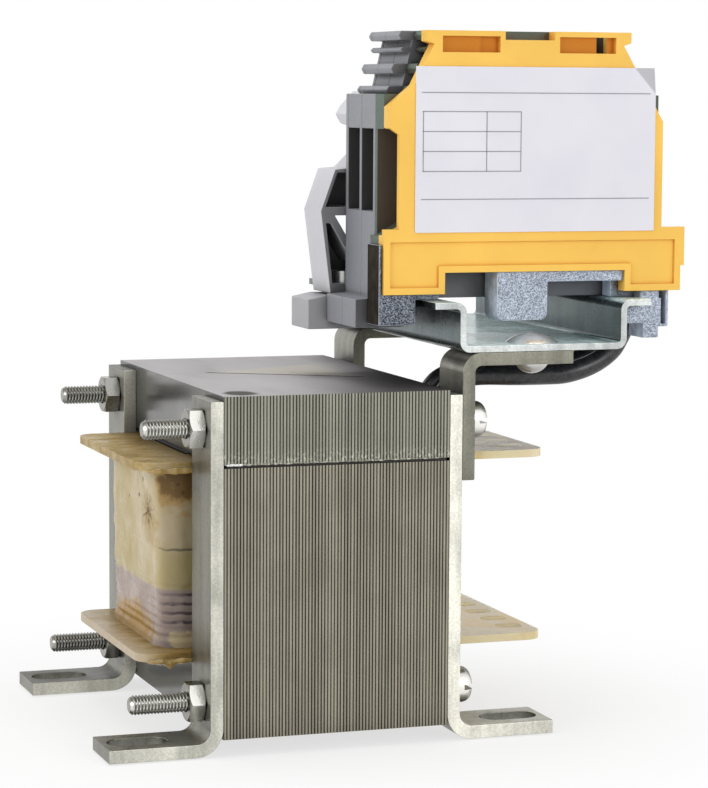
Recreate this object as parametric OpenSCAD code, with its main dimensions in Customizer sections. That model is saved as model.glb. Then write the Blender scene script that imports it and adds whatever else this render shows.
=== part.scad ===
// Single-phase line reactor with a terminal strip on a mounting rail.
// X runs along the stack of laminations, Y from front to back, Z up.
// The origin lies on the floor, midway between the four foot slots.

/* [Core] */
// Width of the laminations, front to back
core_w = 60; // [56:0.5:72]
// Thickness of the stack of laminations
stack = 35; // [28:0.5:40]
// Width of each outer leg
leg_w = 10; // [8:0.5:12]
// Width of the centre leg
centre_w = 20; // [16:0.5:22]
// Height of the lower and upper yokes
yoke_h = 10; // [8:0.5:14]
// Height of the windows
window_h = 30; // [26:0.5:36]
// Thickness of one lamination
lam_t = 0.5; // [0.35:0.05:1]
// Depth of the line between two laminations
lam_groove = 0.14; // [0.05:0.01:0.2]
// Thickness of the spacer in the air gap
gap_t = 0.5; // [0.2:0.1:1.5]
// How far the spacer stays inside the faces of the core
gap_inset = 0.4; // [0:0.1:1]
// Height of the underside of the core above the floor
core_lift = 2.4; // [2:0.1:5]

/* [Clamping strips] */
// Width of a strip
strip_w = 10; // [8:0.5:10]
// Thickness of a strip
strip_t = 2; // [1.5:0.1:3]
// Inside radius of the bend at the foot
strip_bend = 2; // [1:0.1:3]
// How far the top of a strip stays below the top of the core
strip_drop = 0.7; // [0:0.1:2]
// Distance from the outer face of a strip to the middle of its foot slot
slot_out = 9.75; // [9:0.25:16]
// Width of a foot slot
slot_w = 5; // [3:0.1:6]
// Length of a foot slot, end to end
slot_l = 9; // [6:0.5:10]
// Metal left between a slot and the tip of the foot
slot_end = 0.95; // [0.5:0.05:3]

/* [Bolts] */
// Diameter of a bolt
bolt_d = 3; // [2.5:0.1:4]
// Length of a bolt under its head
bolt_l = 50; // [48:0.5:60]
// Room between a bolt and its hole, across the diameter
hole_clear = 0.4; // [0.2:0.1:1]
// Room between a bolt and its nut, across the diameter
thread_clear = 0.1; // [0.05:0.05:0.3]
// Diameter of a bolt head
head_d = 5.5; // [5:0.1:7]
// Height of a bolt head
head_h = 3.2; // [2:0.1:3.5]
// Width of the slot in a screw head
head_slot = 0.8; // [0.5:0.1:1.2]
// Distance across the flats of a nut
nut_af = 5.5; // [5:0.1:7]
// Height of a nut
nut_h = 2.4; // [2:0.1:4]

/* [Bobbin and coil] */
// Wall of the tube of the bobbin
bobbin_wall = 1.2; // [0.8:0.1:2]
// Room between the tube and the centre leg
bobbin_clear = 0.3; // [0.2:0.1:0.6]
// Room above the bobbin in the window
bobbin_play = 0.2; // [0.1:0.1:1]
// Thickness of a flange
flange_t = 1.2; // [0.8:0.1:2]
// How far a flange reaches past the core on the left
flange_left = 10; // [9:0.5:14]
// How far a flange reaches past the core on the right
flange_right = 20; // [16:0.5:24]
// Room between a flange and the outer legs
flange_side = 0.5; // [0.3:0.1:1]
// Radius of the corners of a flange
flange_r = 3; // [1:0.5:4]
// Number of pin slots in the right end of a flange
pin_slots = 5; // [3:1:5]
// Distance between pin slots
pin_pitch = 6.5; // [5:0.5:7]
// Width of a pin slot
pin_w = 1.4; // [1:0.1:2]
// Length of a pin slot
pin_l = 3.4; // [2.5:0.1:4]
// How far the coil reaches past the core
coil_out = 5.7; // [5:0.1:8.5]
// Room between the coil and the outer legs
coil_side = 4.2; // [1:0.1:5]
// Radius of the corners of the coil
coil_r = 4; // [3:0.5:7]
// Thickness of the tape round the coil
wrap_t = 0.6; // [0.3:0.1:1]
// Room between the layers of the coil
coil_clear = 0.1; // [0.05:0.05:0.2]

/* [Rail and brackets] */
// Thickness of a rail bracket
bracket_t = 2; // [1.5:0.1:3]
// Inside radius of the bend of a rail bracket
bracket_bend = 1; // [0.5:0.1:1.5]
// How far a bracket reaches below its bolt
bracket_down = 8.6; // [5:0.1:10]
// How far a bracket reaches past the middle of the rail
bracket_past = 4.8; // [4:0.1:9]
// Distance from the strips to the middle of the rail
rail_out = 13; // [12:0.5:20]
// Height of the underside of the rail above the core
rail_rise = 5.5; // [5.5:0.1:10]
// Width of the rail over its flanges
rail_w = 35; // [34:0.1:36]
// Height of the rail
rail_h = 7.5; // [7:0.1:8]
// Thickness of the rail
rail_t = 1; // [0.8:0.1:1.2]
// Width of the channel of the rail, over its walls
channel_w = 27; // [26:0.1:27.5]
// Outside radius of the bends of the rail
rail_r = 1.6; // [1.4:0.1:2]
// How far the rail stands past the core at each end
rail_over = 0; // [0:0.5:6]
// Diameter of the shank of a rivet
rivet_d = 4; // [3:0.1:4.5]
// Diameter of the domed head of a rivet
rivet_head_d = 8; // [7:0.1:9]
// Height of the domed head of a rivet
rivet_head_h = 1.5; // [1:0.1:2]
// Diameter of the closed end of a rivet
rivet_foot_d = 5.4; // [5.2:0.1:7]
// Height of the closed end of the front rivet
rivet_foot_h = 1.8; // [1:0.1:2.2]
// Height of the closed end of the rear rivet, hammered flat
rivet_flat_h = 0.5; // [0.3:0.1:1]

/* [Terminals] */
// Distance from the middle of the rail to the middle of the terminals
term_shift = -1.2; // [-1.5:0.1:0]
// Distance from the front end of the rail to the first terminal
term_set = 4; // [2:0.5:8]
// Thickness of one terminal
term_pitch = 6.2; // [6.2:0.1:8]
// Thickness of the side wall of a terminal
term_wall = 1; // [0.8:0.1:1.1]
// Half the length of a terminal between its wire faces
term_face = 22.3; // [22:0.1:24]
// Height of the top of a terminal above the underside of the rail
term_top = 47.6; // [46:0.1:50]
// Height of the shoulder above the wire faces
term_shoulder = 38.2; // [37:0.1:39]
// Half the length of the upper part at the shoulder
flank_low = 18.4; // [17.5:0.1:18.8]
// Half the length of the upper part at the top
flank_top = 16.2; // [15.5:0.1:17]
// Height of the lower edge of a wire entry of a grey terminal
entry_low = 20.6; // [19:0.1:20.7]
// Height of the lower edge of a wire entry of the earth terminal
earth_entry_low = 17.3; // [16:0.1:18]
// Height of the upper edge of a wire entry
entry_high = 33; // [32.5:0.1:35]
// Distance from the middle of a terminal to a clamp screw
screw_out = 11; // [10.5:0.1:11.5]
// Width of the shaft for the screwdriver
driver_w = 3.9; // [3.7:0.1:4.2]
// How far the left foot stands out under the wire face
foot_out = 3; // [1:0.1:4]
// Height of the sloped corner of the right foot
toe_top = 10; // [9:0.1:14]
// Thickness of the cover on the last terminal
cover_t = 1.2; // [0.8:0.1:2]

/* [Clamps inside the terminals] */
// Height of the underside of a current bar
bar_low = 20.6; // [20:0.1:21.5]
// Thickness of a current bar
bar_t = 1.2; // [0.8:0.1:1.5]
// Length of a clamp cage
cage_l = 6; // [5:0.1:6.2]
// Height of a clamp cage
cage_h = 9; // [8:0.1:9.5]
// Thickness of the sheet of a clamp cage
cage_t = 0.7; // [0.5:0.1:0.8]
// Room round a clamp cage
cage_clear = 0.2; // [0.1:0.1:0.3]
// Diameter of a clamp screw
clamp_d = 2; // [1.8:0.1:2.2]
// Diameter of the head of a clamp screw
clamp_head_d = 3.4; // [3:0.1:3.5]
// Height of the head of a clamp screw
clamp_head_h = 2; // [1.5:0.1:2.5]
// Diameter of a crimped lead end
ferrule_d = 2.2; // [1.8:0.1:2.4]
// Length of a crimped lead end
ferrule_l = 8; // [7:0.5:9]
// How far a crimped lead end reaches past its clamp screw
ferrule_in = 2.5; // [1.5:0.1:3]

/* [Earth terminal] */
// Thickness of the yellow front half
earth_front_t = 2.4; // [2:0.1:3]
// Height of the lower edge of the earth terminal
earth_low = 8.5; // [8.4:0.1:9]
// Height of the raised lower edge over the metal foot
earth_raised = 11.7; // [11:0.1:12.5]
// Height of the top of the base
earth_lip = 18.2; // [17.8:0.1:19]
// Reach of the base of the front half on the left
lip_left = 23; // [22.5:0.1:23.1]
// Reach of the base of the front half on the right
lip_right = 25.9; // [25:0.1:27]
// How far the flanks of the earth terminal lie inside those of the grey terminals
earth_in = 2.4; // [0:0.1:2.5]
// Depth of the panel in the base
panel_depth = 0.4; // [0.3:0.1:0.8]
// Width of a marker pocket near the top
pocket_w = 9.2; // [7:0.1:10]
// Height of a marker pocket
pocket_h = 2.4; // [1.5:0.1:2.6]

/* [End clamp] */
// Thickness of the end clamp
clamp_t = 8.4; // [7:0.1:10]
// Thickness of the back wall of the end clamp
clamp_web = 1.6; // [1:0.1:2.5]
// Diameter of the screw of the end clamp
clamp_screw_d = 3; // [2.5:0.1:3.5]

/* [Label] */
// Width of the label
label_w = 38.8; // [30:0.1:40]
// Height of the label
label_h = 24.6; // [18:0.1:26]
// Thickness of the label
label_t = 0.2; // [0.1:0.05:0.4]
// How far the label reaches down over the base
label_down = 0.5; // [0:0.1:1.5]

/* [Leads] */
// Diameter of a sleeved lead
lead_d = 3.2; // [2.8:0.1:3.4]
// Room between a lead and its hole in the flange, across the diameter
lead_clear = 0.5; // [0.4:0.1:1]

/* [Hidden] */
$fn = 48;
eps = 0.01;

// Core levels and bolt places
half_stack = stack / 2;
window_w = (core_w - 2 * leg_w - centre_w) / 2;
window_z = core_lift + yoke_h;
e_top = window_z + window_h;
i_z = e_top + gap_t;
core_top = i_z + yoke_h;
bolt_y = (core_w - leg_w) / 2;
bolt_low_z = core_lift + yoke_h / 2;
bolt_high_z = i_z + yoke_h / 2;
hole_d = bolt_d + hole_clear;
strip_x = half_stack + strip_t;
slot_x = strip_x + slot_out;
foot_tip = slot_x + slot_l / 2 + slot_end;

// Bobbin and coil levels
bobbin_h = window_h - bobbin_play;
flange_top_z = window_z + bobbin_h - flange_t;
coil_z = window_z + flange_t;
coil_h = flange_top_z - coil_z;
flange_half = core_w / 2 - leg_w - flange_side;
tube_x = half_stack + bobbin_clear + bobbin_wall;
tube_y = centre_w / 2 + bobbin_clear + bobbin_wall;
coil_x = half_stack + coil_out;
coil_y = core_w / 2 - leg_w - coil_side;
wound_x = coil_x - wrap_t - coil_clear;
wound_y = coil_y - wrap_t - coil_clear;
wound_r = coil_r - wrap_t - coil_clear;

// Rail and terminal places
rail_x = strip_x + rail_out;
rail_z = core_top + rail_rise;
rail_l = core_w + 2 * rail_over;
flange_z = rail_h - rail_t;
term_x = rail_x + term_shift;
earth_y = -rail_l / 2 + term_set;
term_y = [earth_y + term_pitch, earth_y + 2 * term_pitch];
cover_y = earth_y + 3 * term_pitch;
clamp_y = cover_y + cover_t;
term_depth = term_pitch - term_wall;
earth_depth = term_pitch - 2 * term_wall;
cage_w = cage_l / 2 + cage_clear;
cage_low = bar_low - cage_t - cage_clear;
ramp_top = bar_low + cage_clear;
ramp_flat = 2;
ramp_in = screw_out + cage_w + ramp_flat;
ferrule_z = bar_low + bar_t + ferrule_d / 2;
ferrule_end = screw_out - ferrule_in + ferrule_l;
clamp_tip = ferrule_z + ferrule_d / 2;
cage_top = cage_low + cage_h;

// Teeth on the flanks of a terminal: height above the shoulder, thickness and reach
flank_h = term_top - term_shoulder;
top_tooth_t = 1.4;
TEETH = [[0, 1.2, 2.2], [3, 1.5, 2.2], [6.2, 0.8, 1.5], [flank_h - top_tooth_t, top_tooth_t, 2.2]];
tooth_nose = 0.4;

// Route of a lead: X, shift in Y from the middle of the terminal, Z.
// It rises from the upper flange beside the coil, then runs under the rail and up into its terminal.
LEAD_RISE = [
    [-0.8, 4.4, 0], [-0.8, 4.4, 3], [-0.8, 4.4, 6], [-0.3, 4.3, 8.6], [1.2, 4, 10.8], [3.5, 3.5, 12]
];
LEAD_RUN = [
    [-24.2, 2.8, -5.05], [-19.6, 1.6, -5.1], [-15.1, 0.6, -5.05], [-11.4, 0, -4.8], [-7.2, 0, -3.55],
    [-4.2, 0, -1.6], [-2.8, 0, 0.4], [-1.7, 0, 2.55], [-0.6, 0, 4.5], [0.6, 0, 6.8], [1.6, 0, 9.4],
    [1.9, 0, 12.1], [2, 0, 15.6], [2, 0, 18.6], [1.9, 0, 20.6], [1.3, 0, 22], [0.1, 0, 22.8],
    [-1.6, 0, ferrule_z], [-3.8, 0, ferrule_z], [ferrule_end - term_face, 0, ferrule_z]
];
LEAD_ROUTE = concat(
    [for (p = LEAD_RISE) p + [coil_x, 0, flange_top_z]],
    [for (p = LEAD_RUN) p + [term_x + term_face, 0, rail_z]]
);
lead_sides = 10;

// Helpers

// Sheet from y0 to y1 with its outline given as X and Z
module slab_y(y0, y1) {
    translate([0, y1, 0]) rotate([90, 0, 0]) linear_extrude(y1 - y0) children();
}

// Round bar along X
module bar_x(x0, x1, d) {
    translate([x0, 0, 0]) rotate([0, 90, 0]) cylinder(h = x1 - x0, d = d);
}

// Quarter ring of a bend, in the lower left quarter
module bend(r, t) {
    intersection() {
        difference() {
            circle(r + t);
            circle(r);
        }
        translate([-(r + t), -(r + t)]) square(r + t);
    }
}

// Section of a bent strip: one leg up, one leg out, outer corner at the origin
module angle_section(up, out, t, r) {
    translate([r + t, r + t]) bend(r, t);
    translate([0, r + t]) square([t, up - r - t]);
    translate([r + t, 0]) square([out - r - t, t]);
}

// Rectangle with round corners, from corner a to corner b
module round_rect(a, b, r) {
    translate([a[0] + r, a[1]]) square([b[0] - a[0] - 2 * r, b[1] - a[1]]);
    translate([a[0], a[1] + r]) square([b[0] - a[0], b[1] - a[1] - 2 * r]);
    for (x = [a[0] + r, b[0] - r], y = [a[1] + r, b[1] - r]) {
        translate([x, y]) circle(r);
    }
}

// Upright slot along X, through everything between z0 and z1
module slot_x_cut(l, w, z0, z1) {
    for (x = [-(l - w) / 2, (l - w) / 2]) {
        translate([x, 0, z0]) cylinder(h = z1 - z0, d = w);
    }
    translate([-(l - w) / 2, -w / 2, z0]) cube([l - w, w, z1 - z0]);
}

// Moves a shape drawn round the middle of the terminals onto the rail
module on_terminals() {
    translate([term_x, 0, rail_z]) children();
}

// Moves a shape drawn round the middle of the rail onto the rail
module on_rail() {
    translate([rail_x, 0, rail_z]) children();
}

// Core

// Top view of a stack of laminations, with a fine line at each joint on the front and back
lam_n = round(stack / lam_t);
lam_p = stack / lam_n;
function joint_x(i) = -half_stack + i * lam_p;
function inner_joint(i) = i > 0 && i < lam_n;
function edge_points(i, y, inward) = let (x = joint_x(i), half = lam_groove / 2)
    inner_joint(i) ? [[x - half, y], [x, y + inward * lam_groove], [x + half, y]] : [[x, y]];
function flip(points) = [for (i = [len(points) - 1:-1:0]) points[i]];
function core_edge(y, inward) = [for (i = [0:lam_n]) each edge_points(i, y, inward)];
core_plan = concat(core_edge(-core_w / 2, 1), flip(core_edge(core_w / 2, -1)));

module bolt_holes(z) {
    for (y = [-bolt_y, bolt_y]) {
        translate([0, y, z]) bar_x(-half_stack - 1, half_stack + 1, hole_d);
    }
}

module e_core() {
    color([0.46, 0.45, 0.4]) difference() {
        translate([0, 0, core_lift]) linear_extrude(yoke_h + window_h) polygon(core_plan);
        for (side = [-1, 1]) {
            translate([-half_stack - 1, side * (centre_w + window_w) / 2 - window_w / 2, window_z])
                cube([stack + 2, window_w, window_h + 1]);
        }
        bolt_holes(bolt_low_z);
    }
}

module i_yoke() {
    color([0.5, 0.49, 0.44]) difference() {
        translate([0, 0, i_z]) linear_extrude(yoke_h) polygon(core_plan);
        bolt_holes(bolt_high_z);
    }
}

module gap_spacer() {
    color([0.25, 0.23, 0.2])
        translate([-half_stack + gap_inset, -core_w / 2 + gap_inset, e_top])
        cube([stack - 2 * gap_inset, core_w - 2 * gap_inset, gap_t]);
}

// Bobbin and coil

module flange_plan() {
    left = half_stack + flange_left;
    right = half_stack + flange_right;
    round_rect([-left, -flange_half], [right, flange_half], flange_r);
}

module coil_plan(x, y, r) {
    round_rect([-x, -y], [x, y], r);
}

module tube_plan(grow) {
    square([2 * (tube_x + grow), 2 * (tube_y + grow)], center = true);
}

module pin_cuts(z) {
    for (i = [0:pin_slots - 1]) {
        y = (i - (pin_slots - 1) / 2) * pin_pitch;
        translate([half_stack + flange_right - pin_l, y, 0])
            slot_x_cut(pin_l, pin_w, z - 1, z + flange_t + 1);
    }
}

module bobbin() {
    color([0.87, 0.77, 0.48]) difference() {
        union() {
            for (z = [window_z, flange_top_z]) {
                translate([0, 0, z]) linear_extrude(flange_t) flange_plan();
            }
            translate([0, 0, window_z]) linear_extrude(bobbin_h) tube_plan(0);
        }
        translate([0, 0, window_z - 1]) linear_extrude(bobbin_h + 2) tube_plan(-bobbin_wall);
        pin_cuts(window_z);
        pin_cuts(flange_top_z);
        for (y = lead_y) {
            translate([LEAD_ROUTE[0][0], y + LEAD_ROUTE[0][1], flange_top_z - 1])
                cylinder(h = flange_t + 2, d = lead_d + lead_clear);
        }
    }
}

module winding() {
    color([0.72, 0.42, 0.22]) translate([0, 0, coil_z]) linear_extrude(coil_h) difference() {
        coil_plan(wound_x, wound_y, wound_r);
        tube_plan(coil_clear);
    }
}

module coil_wrap() {
    color([0.9, 0.84, 0.66]) translate([0, 0, coil_z]) linear_extrude(coil_h) difference() {
        coil_plan(coil_x, coil_y, coil_r);
        coil_plan(coil_x - wrap_t, coil_y - wrap_t, coil_r - wrap_t);
    }
}

// Clamping strips, bolts and nuts

module foot_strip(side, end) {
    color([0.74, 0.73, 0.68]) difference() {
        translate([0, end * bolt_y, 0]) mirror([side < 0 ? 1 : 0, 0, 0]) translate([half_stack, 0, 0])
            slab_y(-strip_w / 2, strip_w / 2)
            angle_section(core_top - strip_drop, foot_tip - half_stack, strip_t, strip_bend);
        for (z = [bolt_low_z, bolt_high_z]) {
            translate([side * (half_stack + strip_t / 2), end * bolt_y, z])
                bar_x(-strip_t, strip_t, hole_d);
        }
        translate([side * slot_x, end * bolt_y, 0]) slot_x_cut(slot_l, slot_w, -1, strip_t + 1);
    }
}

module foot_strip_front_left() foot_strip(-1, -1);

module foot_strip_front_right() foot_strip(1, -1);

module foot_strip_rear_left() foot_strip(-1, 1);

module foot_strip_rear_right() foot_strip(1, 1);

// Bolt along X with its domed head to the right of seat
head_side = 1.4;

module bolt(seat) {
    bar_x(seat - bolt_l, seat + eps, bolt_d);
    difference() {
        translate([seat, 0, 0]) rotate([0, 90, 0]) {
            cylinder(h = head_side + eps, d = head_d);
            translate([0, 0, head_side]) dome(head_d, head_h - head_side);
        }
        translate([seat + head_h / 2, -head_d, -head_slot / 2]) cube([head_h, 2 * head_d, head_slot]);
    }
}

module through_bolts() {
    color([0.78, 0.77, 0.73]) for (y = [-bolt_y, bolt_y]) {
        translate([0, y, bolt_low_z]) bolt(strip_x);
        translate([0, y, bolt_high_z]) bolt(strip_x + bracket_t);
    }
}

module hex_nuts() {
    color([0.76, 0.75, 0.7]) for (y = [-bolt_y, bolt_y], z = [bolt_low_z, bolt_high_z]) {
        translate([-strip_x - nut_h, y, z]) difference() {
            rotate([0, 90, 0]) cylinder(h = nut_h, d = nut_af / cos(30), $fn = 6);
            bar_x(-1, nut_h + 1, bolt_d + thread_clear);
        }
    }
}

// Rail and brackets

module rail_bracket(end) {
    leg = rail_x + bracket_past - strip_x;
    drop = rail_z - bolt_high_z + bracket_down;
    color([0.76, 0.75, 0.68]) difference() {
        translate([strip_x, end * bolt_y, rail_z]) mirror([0, 0, 1]) slab_y(-strip_w / 2, strip_w / 2)
            angle_section(drop, leg, bracket_t, bracket_bend);
        translate([strip_x, end * bolt_y, bolt_high_z]) bar_x(-1, bracket_t + 1, hole_d);
        translate([rail_x, end * bolt_y, rail_z - bracket_t - 1])
            cylinder(h = bracket_t + 2, d = rivet_d + thread_clear);
    }
}

module rail_bracket_front() rail_bracket(-1);

module rail_bracket_rear() rail_bracket(1);

// Right half of the rail's section, from the middle of its floor to the edge of its flange
module half_rail() {
    inner_r = rail_r - rail_t;
    wall = channel_w / 2;
    square([wall - rail_r, rail_t]);
    translate([wall - rail_r, rail_r]) mirror([1, 0]) bend(inner_r, rail_t);
    translate([wall - rail_t, rail_r]) square([rail_t, rail_h - 2 * rail_r]);
    flat = wall - rail_t + rail_r;
    translate([flat, rail_h - rail_r]) mirror([0, 1]) bend(inner_r, rail_t);
    translate([flat, rail_h - rail_t]) square([rail_w / 2 - flat, rail_t]);
}

module mounting_rail() {
    color([0.66, 0.72, 0.73]) on_rail() difference() {
        slab_y(-rail_l / 2, rail_l / 2) {
            half_rail();
            mirror([1, 0]) half_rail();
        }
        for (y = [-bolt_y, bolt_y]) {
            translate([0, y, -1]) cylinder(h = rail_t + 2, d = rivet_d + thread_clear);
        }
    }
}

// Domed cap of diameter d and height h, on the floor of its own frame
module dome(d, h) {
    r = (d * d / 4 + h * h) / (2 * h);
    rotate_extrude() intersection() {
        translate([0, h - r]) circle(r);
        square([d / 2, h]);
    }
}

module rail_rivets() {
    color([0.8, 0.79, 0.74]) on_rail() for (y = [-bolt_y, bolt_y]) {
        translate([0, y, rail_t]) dome(rivet_head_d, rivet_head_h);
        translate([0, y, -bracket_t - eps]) cylinder(h = bracket_t + rail_t + 2 * eps, d = rivet_d);
        translate([0, y, -bracket_t]) mirror([0, 0, 1])
            dome(rivet_foot_d, y < 0 ? rivet_foot_h : rivet_flat_h);
    }
}

// Terminals

function flank(z, in) = flank_low - in + (flank_top - flank_low) * (z - term_shoulder) / flank_h;
function tooth(t, in) = let (
    low = term_shoulder + t[0],
    high = min(low + t[1], term_top),
    tip = flank(low, in) + t[2]
) [
    [flank(low, in), low], [tip - tooth_nose, low], [tip, (low + high) / 2], [tip - tooth_nose, high],
    [flank(high, in), high]
];
function left_of(points) = [for (p = flip(points)) [-p[0], p[1]]];

// Right flank of a terminal from the wire face up to the top, with its groove and teeth, moved in
groove_w = 0.7;
groove_d = 0.7;
function flank_points(in) = let (shelf = flank_low - in + TEETH[0][2]) concat(
    [[term_face, term_shoulder], [shelf + groove_w, term_shoulder],
     [shelf + groove_w, term_shoulder - groove_d], [shelf, term_shoulder - groove_d]],
    [for (t = TEETH) each tooth(t, in)]
);

// Feet of a terminal, drawn as right feet: a hook under the edge of the rail, then the toe
hook_in = 1.5;
hook_low = 3.2;
hook_mid = 4.8;
hook_gap = 0.2;
function hook_points(edge) = [
    [edge + hook_gap, rail_h], [edge + hook_gap, flange_z - hook_gap], [edge - hook_in, flange_z - hook_gap],
    [edge - hook_in / 2, hook_mid]
];
edge_right = rail_w / 2 - term_shift;
edge_left = rail_w / 2 + term_shift;
toe_right = [[edge_right + hook_gap, hook_low], [term_face, toe_top]];
toe_left = [
    [edge_left + hook_in, hook_low], [term_face + foot_out, hook_low], [term_face + foot_out, rail_h],
    [term_face, rail_h + hook_gap]
];
term_outline = concat(
    hook_points(edge_right), toe_right, flank_points(0),
    left_of(concat(hook_points(edge_left), toe_left, flank_points(0)))
);

// Hollow for one wire: entry down to low with its ramp, cage and screwdriver shaft, on the right side
module wire_hollow(low) {
    cage_in = screw_out - cage_w;
    cage_out = screw_out + cage_w;
    past = term_face + lip_right;
    polygon([
        [cage_in, cage_low], [cage_out, cage_low], [cage_out, ramp_top], [ramp_in, ramp_top],
        [term_face, low], [past, low], [past, entry_high], [cage_in, entry_high]
    ]);
    translate([screw_out - driver_w / 2, entry_high - eps]) square([driver_w, term_top - entry_high + 1]);
}

module hollows(low) {
    wire_hollow(low);
    mirror([1, 0]) wire_hollow(low);
    translate([-screw_out, bar_low]) square([2 * screw_out, bar_t + cage_clear]);
}

module terminal(y) {
    color([0.56, 0.57, 0.59]) on_terminals() {
        slab_y(y, y + term_wall) polygon(term_outline);
        slab_y(y + term_wall, y + term_pitch) difference() {
            polygon(term_outline);
            hollows(entry_low);
        }
    }
}

module terminal_front() terminal(term_y[0]);

module terminal_rear() terminal(term_y[1]);

module terminal_cover() {
    color([0.6, 0.61, 0.63]) on_terminals() slab_y(cover_y, cover_y + cover_t) polygon(term_outline);
}

// Middle of each hollow across the terminal
earth_mid = earth_y + term_pitch / 2;
term_mid = [for (y = term_y) y + term_wall + term_depth / 2];
lead_y = term_mid;

module current_bar(y, w) {
    translate([-screw_out - cage_l / 2, y - w / 2, bar_low]) cube([2 * screw_out + cage_l, w, bar_t]);
}

module cage(x, y, w) {
    translate([x - cage_l / 2, y - w / 2, cage_low]) difference() {
        cube([cage_l, w, cage_h]);
        translate([-1, cage_t, cage_t]) cube([cage_l + 2, w - 2 * cage_t, cage_h - 2 * cage_t]);
        translate([cage_l / 2, w / 2, cage_h - cage_t - 1])
            cylinder(h = cage_t + 2, d = clamp_d + thread_clear);
    }
}

cage_depth = term_depth - 2 * cage_clear;
earth_cage_depth = earth_depth - 2 * cage_clear;
bar_w = cage_depth - 2 * cage_t - 2 * cage_clear;
earth_bar_w = earth_cage_depth - 2 * cage_t - 2 * cage_clear;

module terminal_bars() {
    color([0.8, 0.68, 0.38]) on_terminals() for (y = term_mid) {
        current_bar(y, bar_w);
    }
}

module terminal_cages() {
    color([0.72, 0.72, 0.72]) on_terminals() for (x = [-screw_out, screw_out], y = term_mid) {
        cage(x, y, cage_depth);
    }
}

module clamp_screw(x, y) {
    head_z = cage_top + cage_clear;
    translate([x, y, clamp_tip]) cylinder(h = head_z - clamp_tip + eps, d = clamp_d);
    difference() {
        translate([x, y, head_z]) cylinder(h = clamp_head_h, d = clamp_head_d);
        translate([x - clamp_head_d, y - head_slot / 2, head_z + clamp_head_h / 2])
            cube([2 * clamp_head_d, head_slot, clamp_head_h]);
    }
}

module cage_screws() {
    rows = concat([earth_mid], term_mid);
    color([0.75, 0.75, 0.75]) on_terminals() for (x = [-screw_out, screw_out], y = rows) {
        clamp_screw(x, y);
    }
}

// Earth terminal

// Outline of the front half: base, walls beside the wire entries, brow over them, hooks at the top
raised_left = 13.3;
raised_right = 16;
wall_left = term_face - 1.6;
wall_right = term_face - 0.3;
brow = entry_high + 0.2;
brow_high = term_shoulder - 1.9;
brow_slope = 1;
brow_top = term_shoulder + 1.3;
hook_half = flank_top + 0.3;
hook_neck = flank_top - 0.9;
hook_z = term_top - 2;
hook_nose = 0.4;
notch_half = 4;
notch_d = 1.3;
step_z = earth_low + 3.8;
step_in = 0.6;
front_outline = [
    [-lip_left, earth_low], [-lip_left, earth_lip], [-wall_left, earth_lip], [-wall_left, brow - brow_slope],
    [-term_face, brow], [-term_face, brow_high], [-flank_low, brow_top], [-hook_neck, hook_z],
    [-hook_half, hook_z + hook_nose], [-hook_half, term_top], [-notch_half, term_top],
    [-notch_half, term_top - notch_d], [notch_half, term_top - notch_d], [notch_half, term_top],
    [hook_half, term_top], [hook_half, hook_z + hook_nose], [hook_neck, hook_z],
    [wall_right, brow + brow_slope], [wall_right, earth_lip], [lip_right, earth_lip],
    [lip_right, step_z], [lip_right - step_in, step_z],
    [lip_right - step_in, earth_low], [raised_right, earth_low], [raised_right, earth_raised],
    [-raised_left, earth_raised], [-raised_left, earth_low]
];

// Outline of the rear half: base with a small ledge, then the flanks of the other terminals
ledge = 0.7;
ledge_z = earth_lip - 1;
base_right = [
    [raised_right, earth_raised], [raised_right, earth_low], [term_face + ledge, earth_low],
    [term_face + ledge, ledge_z], [term_face, ledge_z]
];
base_left = [
    [-term_face, ledge_z], [-term_face - ledge, ledge_z], [-term_face - ledge, earth_low],
    [-raised_left, earth_low], [-raised_left, earth_raised]
];
rear_outline = concat(base_right, flank_points(earth_in), left_of(flank_points(earth_in)), base_left);
post_w = 5;

module earth_hollows() {
    hollows(earth_entry_low);
    translate([-post_w / 2 - cage_clear, earth_raised - 1])
        square([post_w + 2 * cage_clear, bar_low - earth_raised + 1 + eps]);
}

earth_split = earth_y + earth_front_t;
panel_rim = 1;
panel_low = earth_low + panel_rim;
panel_high = earth_lip - 1.9;
panel_right = lip_right - step_in - panel_rim;
pocket_mid = 9.4;
pocket_low = 44.4;
pocket_depth = 0.6;
pocket_hole = 3;

module earth_front() {
    color([0.98, 0.76, 0.3]) on_terminals() difference() {
        union() {
            slab_y(earth_y, earth_y + term_wall) polygon(front_outline);
            slab_y(earth_y + term_wall, earth_split) difference() {
                polygon(front_outline);
                earth_hollows();
            }
        }
        slab_y(earth_y - 1, earth_y + panel_depth) polygon([
            [panel_rim - lip_left, panel_high], [panel_right, panel_high], [panel_right, panel_low],
            [raised_right + panel_rim, panel_low], [raised_right + panel_rim, earth_raised + panel_rim],
            [-raised_left - panel_rim, earth_raised + panel_rim], [-raised_left - panel_rim, panel_low],
            [panel_rim - lip_left, panel_low]
        ]);
        for (x = [-pocket_mid, pocket_mid]) {
            slab_y(earth_y - 1, earth_y + pocket_depth)
                translate([x - pocket_w / 2, pocket_low]) square([pocket_w, pocket_h]);
            slab_y(earth_y - 1, earth_y + term_wall + eps)
                translate([x + pocket_w / 2 - pocket_hole, pocket_low]) square([pocket_hole, pocket_h]);
        }
    }
}

module earth_rear() {
    color([0.36, 0.47, 0.4]) on_terminals() {
        slab_y(earth_split, earth_y + term_pitch - term_wall) difference() {
            polygon(rear_outline);
            earth_hollows();
        }
        slab_y(earth_y + term_pitch - term_wall, earth_y + term_pitch) polygon(rear_outline);
    }
}

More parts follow.
